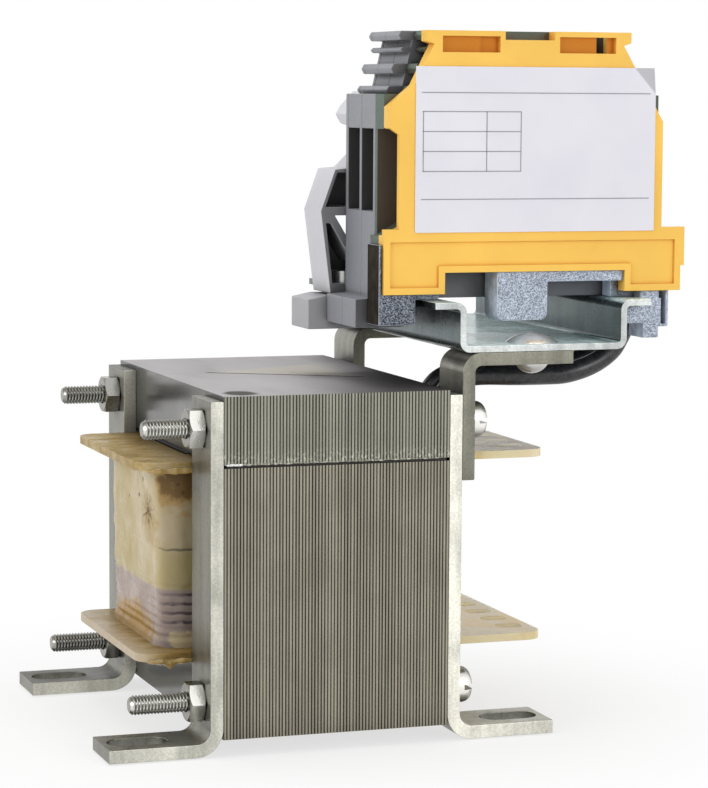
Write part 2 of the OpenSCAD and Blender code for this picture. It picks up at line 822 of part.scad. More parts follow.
// Metal foot of the earth terminal, drawn round the middle of the rail
foot_inset = 0.5;
foot_y0 = earth_y + foot_inset;
foot_y1 = earth_y + term_pitch - foot_inset;
foot_edge = rail_w / 2 + hook_gap;
foot_left = raised_left - term_shift;
foot_right = raised_right + term_shift;
foot_back = earth_split + hook_gap;
arm_t = earth_low - rail_h;
bridge_t = 1.6;
leg_t = 1.2;
block_low = 4.3;
block_left = 5.9;
block_w = 8.2;
block_r = 1.2;
plate_low = 3.9;
plate_w = 5.4;
jaw_in = channel_w / 2 + hook_gap + 0.1;
jaw_out = foot_edge + 3.1;
jaw_tooth_x = foot_edge + 0.5;
jaw_tooth_low = 1.2;
jaw_heel_low = 3.5;
jaw_roof = flange_z - hook_gap;
spring_t = 0.4;
spring_gap = 0.8;
spring_low = 2.9;
lug_t = 0.4;
lug_h = 12;
lug_x = term_face + ledge - term_shift + hook_gap;

// Parts of the metal foot that reach the front: block, bridge, left plate,
// jaw round the edge of the rail and its spring
module foot_front_plan() {
    outer = jaw_out + spring_t + spring_gap;
    round_rect([-block_left, block_low], [block_w - block_left, earth_raised], block_r);
    translate([-block_left, earth_raised - bridge_t]) square([block_left + foot_right, bridge_t]);
    translate([-lug_x, plate_low]) square([plate_w, earth_low - plate_low]);
    polygon([
        [jaw_in, jaw_roof], [jaw_in, jaw_heel_low], [jaw_tooth_x, jaw_heel_low], [jaw_tooth_x, jaw_tooth_low],
        [jaw_out, jaw_tooth_low], [jaw_out, earth_low], [foot_edge, earth_low], [foot_edge, jaw_roof]
    ]);
    translate([jaw_out - eps, spring_low]) square([spring_t + eps, rail_h - hook_gap - spring_low]);
    translate([jaw_out - eps, spring_low]) square([2 * spring_t + spring_gap, spring_t]);
    translate([outer, spring_low]) square([spring_t, earth_low - spring_low]);
}

// Parts of the metal foot behind the front half: right leg and the arms on the rail
module foot_back_plan() {
    outer = jaw_out + 2 * spring_t + spring_gap;
    translate([foot_right - leg_t, rail_h]) square([leg_t, earth_raised - rail_h]);
    translate([-lug_x, rail_h]) square([lug_x - foot_left, arm_t]);
    translate([foot_right - leg_t, rail_h]) square([outer - foot_right + leg_t, arm_t]);
}

module earth_foot() {
    color([0.72, 0.74, 0.78]) on_rail() {
        slab_y(foot_y0, foot_y1) foot_front_plan();
        slab_y(foot_back, foot_y1) foot_back_plan();
        slab_y(foot_y0, foot_y1) translate([-lug_x - lug_t, plate_low]) square([lug_t + eps, lug_h]);
    }
}

module earth_bar() {
    color([0.8, 0.68, 0.38]) on_terminals() {
        current_bar(earth_mid, earth_bar_w);
        translate([-post_w / 2, earth_mid - earth_bar_w / 2, earth_raised])
            cube([post_w, earth_bar_w, bar_low - earth_raised + eps]);
    }
}

module earth_cages() {
    color([0.72, 0.72, 0.72]) on_terminals() for (x = [-screw_out, screw_out]) {
        cage(x, earth_mid, earth_cage_depth);
    }
}

// End clamp, drawn round the middle of the rail

clamp_side = [
    [25.9, rail_h], [27.5, 20.2], [25.2, 26.6], [22.6, 26.8], [20.2, 29.2], [19.6, 33], [21.6, 33.6],
    [22.4, 35], [21.6, 36.4], [19.5, 38.6]
];
clamp_outline = concat(clamp_side, left_of(clamp_side));
clamp_floor = rail_h + 1.5;
clamp_screw_x = 22.65;
clamp_mid = clamp_y + (clamp_t - clamp_web) / 2;
clamp_pocket = [
    [25.5, clamp_floor], [26.6, 18.3], [25.9, 18.3], [22.2, 12.2], [20.6, 12.2], [20.6, clamp_floor]
];
clamp_window = [[25.2, 19.5], [15.4, 19.5], [15.4, 13.6], [21.6, 13.6]];
clamp_upper = [[26.7, 20.8], [24.8, 26.1], [17, 26.1], [17, 20.8]];

module end_clamp() {
    color([0.75, 0.75, 0.77]) on_rail() difference() {
        slab_y(clamp_y, clamp_y + clamp_t) polygon(clamp_outline);
        for (side = [0, 1]) {
            mirror([side, 0, 0]) {
                slab_y(clamp_y - 1, clamp_y + clamp_t - clamp_web) polygon(clamp_pocket);
                slab_y(clamp_y - 1, clamp_y + clamp_t - clamp_web) polygon(clamp_upper);
                slab_y(clamp_y - 1, clamp_y + clamp_t + 1) polygon(clamp_window);
            }
        }
        translate([-clamp_screw_x, clamp_mid, rail_h - 1])
            cylinder(h = clamp_floor - rail_h + 2, d = clamp_screw_d + hole_clear);
    }
}

jaw_edge = rail_w / 2;
jaw_l = 12;
jaw_low = 2;
jaw_gap = 0.3;
jaw_top = rail_h - jaw_gap;
jaw_slope = [3, 0.6];
jaw_heel = 1;

module end_clamp_jaw() {
    color([0.68, 0.68, 0.7]) on_rail() difference() {
        slab_y(clamp_y, clamp_y + clamp_t) polygon([
            [-jaw_edge - jaw_l, jaw_low], [-jaw_edge - jaw_l, jaw_top - jaw_slope[1]],
            [-jaw_edge - jaw_l + jaw_slope[0], jaw_top], [-jaw_edge - jaw_gap, jaw_top],
            [-jaw_edge - jaw_gap, flange_z], [hook_in - jaw_edge, flange_z], [hook_in - jaw_edge, hook_mid],
            [-jaw_edge - jaw_heel, jaw_low]
        ]);
        translate([-clamp_screw_x, clamp_mid, jaw_low - 1])
            cylinder(h = rail_h, d = clamp_screw_d + thread_clear);
    }
}

screw_head_d = 4;
screw_head_h = 1.8;
screw_slot_d = 0.8;

module end_clamp_screw() {
    tip = jaw_low + jaw_gap;
    color([0.78, 0.78, 0.76]) on_rail() translate([-clamp_screw_x, clamp_mid, 0]) {
        translate([0, 0, tip]) cylinder(h = clamp_floor - tip + eps, d = clamp_screw_d);
        translate([0, 0, clamp_floor]) difference() {
            cylinder(h = screw_head_h, d = screw_head_d);
            translate([-screw_head_d, -head_slot / 2, screw_head_h - screw_slot_d])
                cube([2 * screw_head_d, head_slot, 2 * screw_slot_d]);
        }
    }
}

// Leads

// Direction of the route at point i, then a ring of points round it
function unit(v) = v / norm(v);
function run(i) = unit(LEAD_ROUTE[min(i + 1, len(LEAD_ROUTE) - 1)] - LEAD_ROUTE[max(i - 1, 0)]);
function lead_ring(i, y) = let (
    middle = LEAD_ROUTE[i] + [0, y, 0],
    up = unit(cross(run(i), [0, 1, 0])),
    across = cross(up, run(i))
) [
    for (k = [0:lead_sides - 1]) let (turn = 360 * k / lead_sides)
        middle + lead_d / 2 * (cos(turn) * up + sin(turn) * across)
];

module lead(y) {
    last = len(LEAD_ROUTE) - 1;
    points = [for (i = [0:last]) each lead_ring(i, y)];
    walls = [for (i = [0:last - 1], k = [0:lead_sides - 1]) let (n = (k + 1) % lead_sides) [
        i * lead_sides + k, (i + 1) * lead_sides + k, (i + 1) * lead_sides + n, i * lead_sides + n
    ]];
    ends = [[for (k = [0:lead_sides - 1]) k], [for (k = [lead_sides - 1:-1:0]) last * lead_sides + k]];
    color([0.1, 0.1, 0.11]) polyhedron(points, concat(walls, ends), convexity = 6);
}

module lead_front() lead(lead_y[0]);

module lead_rear() lead(lead_y[1]);

module lead_ferrules() {
    color([0.78, 0.78, 0.76]) on_terminals() for (y = lead_y) {
        translate([0, y, ferrule_z]) bar_x(ferrule_end - ferrule_l, ferrule_end, ferrule_d);
    }
}

// Label

module rating_label() {
    color([0.91, 0.9, 0.93]) on_rail()
        translate([-label_w / 2, earth_y - label_t, earth_lip - label_down])
        cube([label_w, label_t, label_h]);
}

e_core();
i_yoke();
gap_spacer();
bobbin();
winding();
coil_wrap();
foot_strip_front_left();
foot_strip_front_right();
foot_strip_rear_left();
foot_strip_rear_right();
through_bolts();
hex_nuts();
rail_bracket_front();
rail_bracket_rear();
mounting_rail();
rail_rivets();
earth_front();
earth_rear();
earth_foot();
earth_bar();
earth_cages();
terminal_front();
terminal_rear();
terminal_cover();
terminal_bars();
terminal_cages();
cage_screws();
end_clamp();
end_clamp_jaw();
end_clamp_screw();
lead_front();
lead_rear();
lead_ferrules();
rating_label();
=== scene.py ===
"""Dressed line reactor: looks, fine detail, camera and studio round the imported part."""
import math

import bmesh
import bpy
from mathutils import Matrix, Vector, noise


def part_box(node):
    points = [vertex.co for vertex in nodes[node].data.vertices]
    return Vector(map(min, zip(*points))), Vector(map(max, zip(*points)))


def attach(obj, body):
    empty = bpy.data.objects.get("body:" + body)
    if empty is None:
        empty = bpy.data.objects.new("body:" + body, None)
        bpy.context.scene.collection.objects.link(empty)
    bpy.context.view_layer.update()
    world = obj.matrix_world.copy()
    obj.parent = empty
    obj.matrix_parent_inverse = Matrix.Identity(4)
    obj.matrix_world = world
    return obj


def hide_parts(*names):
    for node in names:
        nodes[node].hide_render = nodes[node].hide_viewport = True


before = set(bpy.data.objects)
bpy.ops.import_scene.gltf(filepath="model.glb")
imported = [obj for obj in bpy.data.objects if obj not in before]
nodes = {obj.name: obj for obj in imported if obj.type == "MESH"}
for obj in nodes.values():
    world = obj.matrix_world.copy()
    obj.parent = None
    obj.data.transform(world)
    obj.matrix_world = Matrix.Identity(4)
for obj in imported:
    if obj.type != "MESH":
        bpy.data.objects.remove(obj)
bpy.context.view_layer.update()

MM = 0.001

# Sizes of the part that the added pieces share, in millimetres
HALF_STACK = 17.5
CORE_FRONT = -30.0
CORE_TOP = 52.9
STRIP_X = 19.5
BRACKET_T = 2.0
BOLT_Y = 25.0
BOLT_LOW_Z = 7.4
BOLT_HIGH_Z = 47.9
BOLT_D = 3.0
BOLT_L = 50.0
HEAD_D = 5.5
HEAD_H = 3.2
HEAD_SIDE = 1.9
HEAD_CROWN = 0.55
HEAD_SLOT = 0.8
NUT_AF = 5.5
NUT_H = 2.4
COIL_LOW = 13.6
COIL_HIGH = 41.0
COIL_X = 23.2
COIL_Y = 15.8
COIL_R = 4.0
WRAP_T = 0.6
LAP_HEIGHTS = (28.6, 22.9)
LAP_DEPTHS = (0.16, 0.22)
LEAD_D = 3.2
LEAD_Y = (-16.2, -10.0)
LEAD_ROUTE = (
    (22.4, 4.4, 41), (22.4, 4.4, 44), (22.4, 4.4, 47), (22.9, 4.3, 49.6), (24.4, 4, 51.8),
    (26.7, 3.5, 53), (29.4, 2.8, 53.35), (34, 1.6, 53.3), (38.5, 0.6, 53.35), (42.2, 0, 53.6),
    (46.4, 0, 54.85), (49.4, 0, 56.8), (50.8, 0, 58.8), (51.9, 0, 60.95), (53, 0, 62.9), (54.2, 0, 65.2),
    (55.2, 0, 67.8), (55.5, 0, 70.5), (55.6, 0, 74), (55.6, 0, 77), (55.5, 0, 79), (54.9, 0, 80.4),
    (53.7, 0, 81.2), (52, 0, 81.3), (49.8, 0, 81.3), (47.8, 0, 81.3),
)

# Sheet of the label, and the triangle at its upper right corner that is bent back and painted in shade, in
# millimetres
label_low, label_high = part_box("rating_label")
LABEL_LEFT = label_low.x / MM
LABEL_RIGHT = label_high.x / MM
LABEL_LOW = label_low.z / MM
LABEL_TOP = label_high.z / MM
LABEL_FRONT = label_low.y / MM
LABEL_BACK = label_high.y / MM
FOLD_X = 3.6
FOLD_Z = 4.0
FOLD_DEPTH = 0.6

# Ragged edge of a spot and the place where the spot starts to fade, as shares of its radius
SPOT_RAG = 1.6
SPOT_FADE = 0.6


class Look:
    """A node material under construction, mapped by the place of each point in the part's frame."""

    def __init__(self, name):
        self.material = bpy.data.materials.new(name)
        self.material.use_nodes = True
        self.tree = self.material.node_tree
        self.shader = self.tree.nodes["Principled BSDF"]
        self.place = self.add("ShaderNodeTexCoord").outputs["Object"]

    def add(self, kind, **settings):
        node = self.tree.nodes.new(kind)
        for key, value in settings.items():
            setattr(node, key, value)
        return node

    def feed(self, socket, value):
        """Links an output to a socket, or sets the socket to a constant."""
        if isinstance(value, bpy.types.NodeSocket):
            self.tree.links.new(value, socket)
        elif socket.type == "RGBA":
            socket.default_value = (*value, 1.0)
        else:
            socket.default_value = value

    def set(self, **values):
        """Feeds sockets of the shader by name, with _ for a space, and gives back the material."""
        for key, value in values.items():
            self.feed(self.shader.inputs[key.replace("_", " ")], value)
        return self.material

    def noise(self, scale, detail=3.0, roughness=0.5, stretch=(1.0, 1.0, 1.0)):
        mapping = self.add("ShaderNodeMapping")
        self.feed(mapping.inputs["Vector"], self.place)
        mapping.inputs["Scale"].default_value = stretch
        node = self.add("ShaderNodeTexNoise")
        self.feed(node.inputs["Vector"], mapping.outputs["Vector"])
        node.inputs["Scale"].default_value = scale
        node.inputs["Detail"].default_value = detail
        node.inputs["Roughness"].default_value = roughness
        return node.outputs[0]

    def cells(self, scale):
        """Random grey of each Voronoi cell."""
        node = self.add("ShaderNodeTexVoronoi")
        self.feed(node.inputs["Vector"], self.place)
        node.inputs["Scale"].default_value = scale
        return self.split(node.outputs["Color"])[0]

    def split(self, vector):
        node = self.add("ShaderNodeSeparateXYZ")
        self.feed(node.inputs[0], vector)
        return node.outputs

    def math(self, operation, *values):
        node = self.add("ShaderNodeMath", operation=operation)
        for socket, value in zip(node.inputs, values):
            self.feed(socket, value)
        return node.outputs[0]

    def times(self, *values):
        """Product of several values."""
        product = values[0]
        for value in values[1:]:
            product = self.math("MULTIPLY", product, value)
        return product

    def blend(self, first, second, share):
        """Weighted mean of two values, with the share of the second."""
        return self.math("ADD", self.times(first, 1.0 - share), self.times(second, share))

    def span(self, value, low, high, to_low=0.0, to_high=1.0):
        """Maps a value smoothly from low..high to to_low..to_high."""
        node = self.add("ShaderNodeMapRange", interpolation_type="SMOOTHSTEP")
        for socket, number in zip(node.inputs, (value, low, high, to_low, to_high)):
            self.feed(socket, number)
        return node.outputs[0]

    def ramp(self, value, stops):
        node = self.add("ShaderNodeValToRGB")
        elements = node.color_ramp.elements
        while len(elements) < len(stops):
            elements.new(0.5)
        for element, (place, colour) in zip(elements, stops):
            element.position = place
            element.color = (*colour, 1.0)
        self.feed(node.inputs[0], value)
        return node.outputs["Color"]

    def mix(self, share, first, second):
        node = self.add("ShaderNodeMix", data_type="RGBA")
        for index, value in ((0, share), (6, first), (7, second)):
            self.feed(node.inputs[index], value)
        return node.outputs[2]

    def bump(self, height, strength, distance):
        node = self.add("ShaderNodeBump")
        node.inputs["Strength"].default_value = strength
        node.inputs["Distance"].default_value = distance
        self.feed(node.inputs["Height"], height)
        return node.outputs["Normal"]

    def normal(self):
        """X, Y and Z of the surface normal."""
        return self.split(self.add("ShaderNodeNewGeometry").outputs["Normal"])

    def painted_shade(self, reach, deep):
        """Painted shade from ambient occlusion: a share that falls to deep in a crevice no wider than reach,
        in millimetres, and is 1 in the open.
        """
        node = self.add("ShaderNodeAmbientOcclusion", samples=6)
        node.inputs["Distance"].default_value = reach * MM
        return self.span(node.outputs["AO"], 0.3, 0.92, deep, 1.0)

    def spot(self, middle, radii, rag):
        """1 in an ellipsoid given in millimetres, 0 outside, with an edge made uneven by a noise."""
        away = self.add("ShaderNodeVectorMath", operation="SUBTRACT")
        self.feed(away.inputs[0], self.place)
        away.inputs[1].default_value = [c * MM for c in middle]
        share = self.add("ShaderNodeVectorMath", operation="DIVIDE")
        self.feed(share.inputs[0], away.outputs["Vector"])
        share.inputs[1].default_value = [r * MM for r in radii]
        length = self.add("ShaderNodeVectorMath", operation="LENGTH")
        self.feed(length.inputs[0], share.outputs["Vector"])
        stray = self.times(self.math("SUBTRACT", rag, 0.5), SPOT_RAG)
        return self.span(self.math("ADD", length.outputs["Value"], stray), SPOT_FADE, 1.0, 1.0, 0.0)

    def zone(self, place, low, high, to_low=0.0, to_high=1.0):
        """Maps a place smoothly from low..high, in millimetres along one direction, to to_low..to_high."""
        return self.span(place, low * MM, high * MM, to_low, to_high)

    def dim(self, colour, share):
        """A colour times a grey share."""
        node = self.add("ShaderNodeVectorMath", operation="SCALE")
        self.feed(node.inputs[0], colour)
        self.feed(node.inputs["Scale"], share)
        return node.outputs["Vector"]


def shade(colour, factor):
    """A colour times a number."""
    return tuple(c * factor for c in colour)


# Bands over which the painted light and shade of plated steel change, in millimetres: along X, along Y, off
# the walls of the foot slots, and above the floor
LEFT_TO_RIGHT = (0.0, 12.0)
FRONT_TO_BACK = (-5.0, 5.0)
OFF_SLOTS = (3.2, 3.8)
ABOVE_FLOOR = (3.0, 7.0)


def zinc_look(name, colour, front, metallic, rough):
    """Plated steel with fine spangle: a painted highlight on faces to the front that fades to painted shade
    towards the back, darker sides, and painted shade below and in grooves.
    """
    look = Look(name)
    clouds = look.noise(300.0, 4.0, 0.6)
    specks = look.noise(2200.0, 2.0, 0.7)
    tone = look.blend(clouds, specks, 0.4)
    plate = look.ramp(tone, [(0.34, shade(colour, 0.7)), (0.62, shade(colour, 1.15))])
    facing = look.normal()
    # Painted highlight on front faces, dimmed towards the back as painted shade, and painted shade on faces
    # turned down
    painted_fronts = look.mix(look.zone(look.split(look.place)[1], *FRONT_TO_BACK), front, shade(front, 0.45))
    plate = look.mix(look.span(facing[1], -0.9, -0.45, 1.0, 0.0), plate, painted_fronts)
    plate = look.dim(plate, look.span(facing[2], -0.8, -0.2, 0.45, 1.0))
    return look.set(
        Base_Color=look.dim(plate, look.painted_shade(0.6, 0.15)),
        Metallic=metallic,
        Roughness=look.span(clouds, 0.3, 0.7, *rough),
        Normal=look.bump(specks, 0.12, 0.0002),
    )


def plate_look(name, side, edge, top, rough=(0.26, 0.42)):
    """Plated strip steel with a tone each for broad sides, for cut edges to front and back, and for tops.

    The tones are partly the steel's own and partly painted light, shade and reflection. Edges get painted
    light to the right and painted shade by the foot slots, tops painted shade to the back and painted light
    to the right, and corners painted shade except just above the floor.
    """
    look = Look(name)
    clouds = look.noise(140.0, 4.0, 0.6)
    streaks = look.noise(420.0, 3.0, 0.6, (1.0, 1.0, 0.12))
    specks = look.noise(2600.0, 2.0, 0.7)
    facing = look.normal()
    frontal = look.span(look.math("ABSOLUTE", facing[1]), 0.55, 0.85)
    upward = look.span(facing[2], 0.55, 0.85)
    x, y, z = look.split(look.place)
    # Painted light on cut edges to the right, and painted shade on them by the walls of the foot slots
    edges = look.mix(look.zone(x, *LEFT_TO_RIGHT), edge, shade(edge, 1.35))
    off_bolts = look.math("ABSOLUTE", look.math("SUBTRACT", look.math("ABSOLUTE", y), BOLT_Y * MM))
    edges = look.dim(edges, look.zone(off_bolts, *OFF_SLOTS, 0.4, 1.0))
    # Painted shade on tops towards the back, and painted light on them to the right
    tops = look.dim(top, look.zone(y, *FRONT_TO_BACK, 1.0, 0.36))
    tops = look.dim(tops, look.zone(x, *LEFT_TO_RIGHT, 1.0, 2.2))
    colour = look.mix(frontal, look.mix(upward, side, tops), edges)
    # Corners are painted shade, except just above the floor
    near_floor = look.zone(z, *ABOVE_FLOOR, 1.0, 0.0)
    worn = look.blend(clouds, streaks, 0.5)
    colour = look.dim(colour, look.span(worn, 0.34, 0.62, 0.72, 1.15))
    colour = look.dim(colour, look.span(specks, 0.3, 0.7, 0.86, 1.1))
    return look.set(
        Base_Color=look.dim(colour, look.math("MAXIMUM", look.painted_shade(5.0, 0.4), near_floor)),
        Metallic=look.span(look.math("MAXIMUM", frontal, upward), 0.0, 1.0, 0.85, 0.4),
        Specular_IOR_Level=0.15,
        Roughness=look.span(clouds, 0.3, 0.7, *rough),
        Normal=look.bump(specks, 0.12, 0.0002),
    )


# Places along X where the metal foot changes from its dark left plate to its pale middle, in millimetres
FOOT_DARK = (13.5, 16.0)


def grainy_look(name, front, side):
    """Rough zinc: fine dark and pale grains on the front and back, smooth sheared sides, dark left plate.

    The sides of the pale middle are painted light, rounded edges get a painted highlight, and corners painted
    shade.
    """
    look = Look(name)
    cells = look.cells(8500.0)
    clouds = look.noise(300.0, 3.0, 0.6)
    mixed = look.blend(cells, clouds, 0.3)
    coarse = look.ramp(mixed, [
        (0.25, shade(front, 0.04)), (0.5, shade(front, 0.32)), (0.75, shade(front, 0.8))])
    fine = look.ramp(mixed, [
        (0.25, shade(front, 0.4)), (0.5, shade(front, 0.95)), (0.75, shade(front, 1.5))])
    middle = look.zone(look.split(look.place)[0], *FOOT_DARK)
    grains = look.mix(middle, coarse, fine)
    # Painted light: the sides of the middle far paler than its front
    sides = look.mix(middle, side, shade(front, 2.0))
    sides = look.dim(sides, look.span(clouds, 0.3, 0.7, 0.7, 1.3))
    slants = [look.math("ABSOLUTE", part) for part in look.normal()]
    frontal = look.span(slants[1], 0.45, 0.75)
    # Painted highlight along the rounded edges, where the normal leans between axes
    flatness = look.math("MAXIMUM", slants[0], look.math("MAXIMUM", slants[1], slants[2]))
    colour = look.mix(frontal, sides, grains)
    colour = look.mix(look.span(flatness, 0.82, 0.96, 0.9, 0.0), colour, shade(front, 1.9))
    return look.set(
        Base_Color=look.dim(colour, look.painted_shade(3.0, 0.5)),
        Metallic=look.span(frontal, 0.0, 1.0, 0.0, 0.5),
        Specular_IOR_Level=0.0,
        Roughness=look.span(clouds, 0.3, 0.7, 0.3, 0.5),
        Normal=look.bump(cells, 0.08, 0.0001),
    )


# Width of the rim over which the painted shade of a hollow fades in, in millimetres
HOLLOW_RIM = 0.1


def plastic_look(name, colour, deep, reach=9.0, open_share=0.0, front=1.0, rough=0.45, gloss=0.4,
                 hollow=None):
    """Moulded plastic with a slight drift of tone, a fine grain and another colour deep in crevices as
    painted shade.

    Crevices keep an open share of the plain colour. Front faces are dimmed to a share as painted shade, and
    those in a hollow take the deep colour too, as painted shade.
    A hollow is given by its least Y, and by its lowest and highest Z, in millimetres."""
    look = Look(name)
    drifts = look.noise(90.0, 3.0, 0.5)
    fine = look.noise(2600.0, 2.0, 0.5)
    tone = look.ramp(drifts, [(0.3, shade(colour, 0.94)), (0.7, shade(colour, 1.04))])
    # Painted shade: front faces dimmed to a share, and in a hollow given the deep colour
    frontal = look.span(look.normal()[1], -0.95, -0.6, 1.0, 0.0)
    tone = look.dim(tone, look.span(frontal, 0.0, 1.0, 1.0, front))
    if hollow:
        near, low, high = hollow
        y, z = look.split(look.place)[1:]
        inside = look.times(
            frontal, look.zone(y, near, near + HOLLOW_RIM), look.zone(z, low, low + HOLLOW_RIM),
            look.zone(z, high + HOLLOW_RIM, high))
        tone = look.mix(inside, tone, deep)
    return look.set(
        Base_Color=look.mix(look.painted_shade(reach, open_share), deep, tone),
        Roughness=look.span(fine, 0.3, 0.7, rough - 0.07, rough + 0.07),
        Specular_IOR_Level=gloss,
        Normal=look.bump(fine, 0.06, 0.0001),
    )


# Marks on top of the core, in millimetres: a fine slit with a pale wedge behind it, a dark spot, and a band
# along X less a share of Y over which the top darkens as a painted reflection
SLIT_X = (-10.4, 12.5)
SLIT_SLOPE = -0.59
SLIT_HALF = 0.62
SLIT_FADE = 1.0
WEDGE_X = (-9.5, 13.2)
WEDGE_SLOPE = 1.1
WEDGE_START = (0.0, 0.4)
WEDGE_END = (-2.0, 1.0)
WEDGE_FADE = 5.0
DARK_RIGHT = (2.0, 22.0)
DARK_LEAN = 0.4
SPOT_AT = (-14.0, -25.5, CORE_TOP)
SPOT_RADII = (3.4, 4.0, 2.0)
WEDGE_TONE = (0.6, 0.57, 0.48)


def core_top(look, x, y, flow, colour, dark):
    """Varnished top of the core: darker to the right as a painted reflection, with a slit, a pale wedge
    behind it and a dark spot.
    """
    top = look.ramp(flow, [(0.3, shade(colour, 0.85)), (0.5, colour), (0.75, shade(colour, 1.1))])
    # Painted reflection: the top darkens towards the right
    rightward = look.math("SUBTRACT", x, look.times(y, DARK_LEAN))
    top = look.dim(top, look.zone(rightward, *DARK_RIGHT, 1.0, 0.2))
    behind = look.math("SUBTRACT", y, look.times(x, SLIT_SLOPE))
    far_edge = look.times(look.math("SUBTRACT", x, WEDGE_X[0] * MM), WEDGE_SLOPE)
    wedge = look.times(
        look.zone(look.math("SUBTRACT", behind, far_edge), *WEDGE_END, 1.0, 0.0),
        look.zone(behind, *WEDGE_START),
        look.zone(x, WEDGE_X[1] - WEDGE_FADE, WEDGE_X[1], 0.6, 0.0))
    top = look.mix(wedge, top, WEDGE_TONE)
    slit = look.times(
        look.zone(look.math("ABSOLUTE", behind), 0.5 * SLIT_HALF, SLIT_HALF, 0.95, 0.0),
        look.zone(x, SLIT_X[0], SLIT_X[0] + SLIT_FADE),
        look.zone(x, SLIT_X[1] - SLIT_FADE, SLIT_X[1], 1.0, 0.0))
    top = look.mix(slit, top, shade(dark, 0.5))
    return look.mix(look.times(look.spot(SPOT_AT, SPOT_RADII, flow), 0.85), top, shade(dark, 0.6))


# Thickness of one sheet in millimetres, and how much its edge line varies
SHEET_T = 0.5
SHEET_UNEVEN = 0.7


def lamination_look(name, pale, dark, side, top, burr_z):
    """Stack of sheets: their edges on front and back, plain sheet on the sides, smooth varnish on top.

    A band of burrs sparkles, partly their bare metal and partly painted glints, and corners get painted
    shade.
    """
    look = Look(name)
    x, y, z = look.split(look.place)
    sheet = look.times(x, 1.0 / (SHEET_T * MM))
    part = look.math("FRACT", sheet)
    off_middle = look.times(look.math("ABSOLUTE", look.math("SUBTRACT", part, 0.5)), 2.0)
    number = look.add("ShaderNodeTexWhiteNoise", noise_dimensions="1D")
    look.feed(number.inputs["W"], look.math("FLOOR", sheet))
    streak = look.noise(1600.0, 3.0, 0.6, (1.0, 1.0, 0.05))
    blotch = look.noise(140.0, 3.0, 0.6)
    flow = look.noise(110.0, 4.0, 0.55, (1.0, 0.35, 1.0))
    uneven = look.blend(number.outputs["Value"], streak, 0.5)
    edge = look.math("ADD", off_middle, look.times(look.math("SUBTRACT", uneven, 0.5), SHEET_UNEVEN))
    lines = look.ramp(edge, [(0.15, shade(pale, 1.25)), (0.5, shade(pale, 0.8)), (0.85, dark)])
    lines = look.mix(look.span(blotch, 0.35, 0.75, 0.0, 0.3), lines, shade(dark, 1.6))
    # Burrs in a band of Z: pale sparkle, partly bare metal and partly painted glints
    burr_glints = look.span(look.noise(2400.0, 2.0, 0.7, (1.0, 1.0, 0.6)), 0.5, 0.64)
    burrs = look.zone(z, *burr_z, 0.9, 0.0)
    lines = look.mix(look.times(burr_glints, burrs), lines, shade(pale, 2.0))
    flat_side = look.ramp(look.noise(60.0, 3.0, 0.6), [(0.3, shade(side, 0.75)), (0.7, shade(side, 1.2))])
    facing = look.normal()
    upward = look.span(facing[2], 0.5, 0.9)
    frontal = look.span(look.math("ABSOLUTE", facing[1]), 0.2, 0.5)
    colour = look.mix(frontal, flat_side, lines)
    colour = look.mix(upward, colour, core_top(look, x, y, flow, top, dark))
    sheen = look.math("SUBTRACT", look.span(frontal, 0.0, 1.0, 0.85, 0.25), upward)
    smooth = look.span(sheen, 0.25, 0.85, 0.34, 0.14)
    return look.set(
        Base_Color=look.dim(colour, look.painted_shade(7.0, 0.35)),
        Metallic=look.math("MAXIMUM", sheen, 0.0),
        Specular_IOR_Level=0.0,
        Roughness=look.math("ADD", smooth, look.times(blotch, 0.1)),
        Normal=look.bump(streak, 0.08, 0.0001),
    )


# Marks on the left front of the tape, in millimetres: stains, specks, a star-shaped crease, lines of wires
# and a painted shadow line along the lap, the waviness of these lines, and the band along Y where the front,
# dimmed as painted shade, turns into the side
PATCH_AT = (-20.4, -15.4, 38.0)
PATCH_RADII = (5.0, 4.0, 4.6)
BLOT_AT = (-19.4, -15.6, 39.2)
BLOT_RADII = (5.6, 3.4, 4.2)
SMEAR_AT = (-23.2, -9.0, 32.4)
SMEAR_RADII = (2.4, 5.0, 4.8)
TAPE_SPECKS = (
    (-19.7, -15.8, 37.2), (-20.4, -15.6, 38.4), (-23.2, -5.4, 38.0), (-23.2, -3.6, 35.4), (-23.2, 2.6, 34.4),
    (-23.2, -9.6, 33.2),
)
SPECK_R = 0.36
POOL_AT = (-23.2, 2.0, 14.0)
POOL_RADII = (3.0, 15.0, 5.4)
CREAM_AT = (-19.5, -15.8, 14.9)
CREAM_RADII = (3.6, 2.5, 1.6)
STAR_Y = -8.4
STAR_Z = 33.6
STAR_R = 4.6
STAR_EYE = (0.3, 0.8)
STAR_RAYS = 9.0
WIRE_HEIGHTS = (21.4, 20.0, 18.6, 17.2)
WIRE_HALF = 0.34
LAP_HALF = (0.08, 0.26)
BAND_EDGE = 0.6
TAPE_WARP = 2.0
COIL_TURN = (-15.6, -11.8)


def star_rays(look, y, z, rag):
    """1 on the rays of the star-shaped crease, 0 off them."""
    aside = look.math("SUBTRACT", y, STAR_Y * MM)
    above = look.math("SUBTRACT", z, STAR_Z * MM)
    turn = look.math("ADD", look.math("ARCTAN2", above, aside), look.times(rag, 1.5))
    rays = look.span(look.math("SINE", look.times(turn, STAR_RAYS)), 0.1, 0.9)
    reach = look.math("SQRT", look.math("MULTIPLY_ADD", aside, aside, look.times(above, above)))
    faded = look.times(rays, look.zone(reach, 0.2 * STAR_R, STAR_R, 0.85, 0.0))
    return look.math("MAXIMUM", faded, look.zone(reach, *STAR_EYE, 0.9, 0.0))


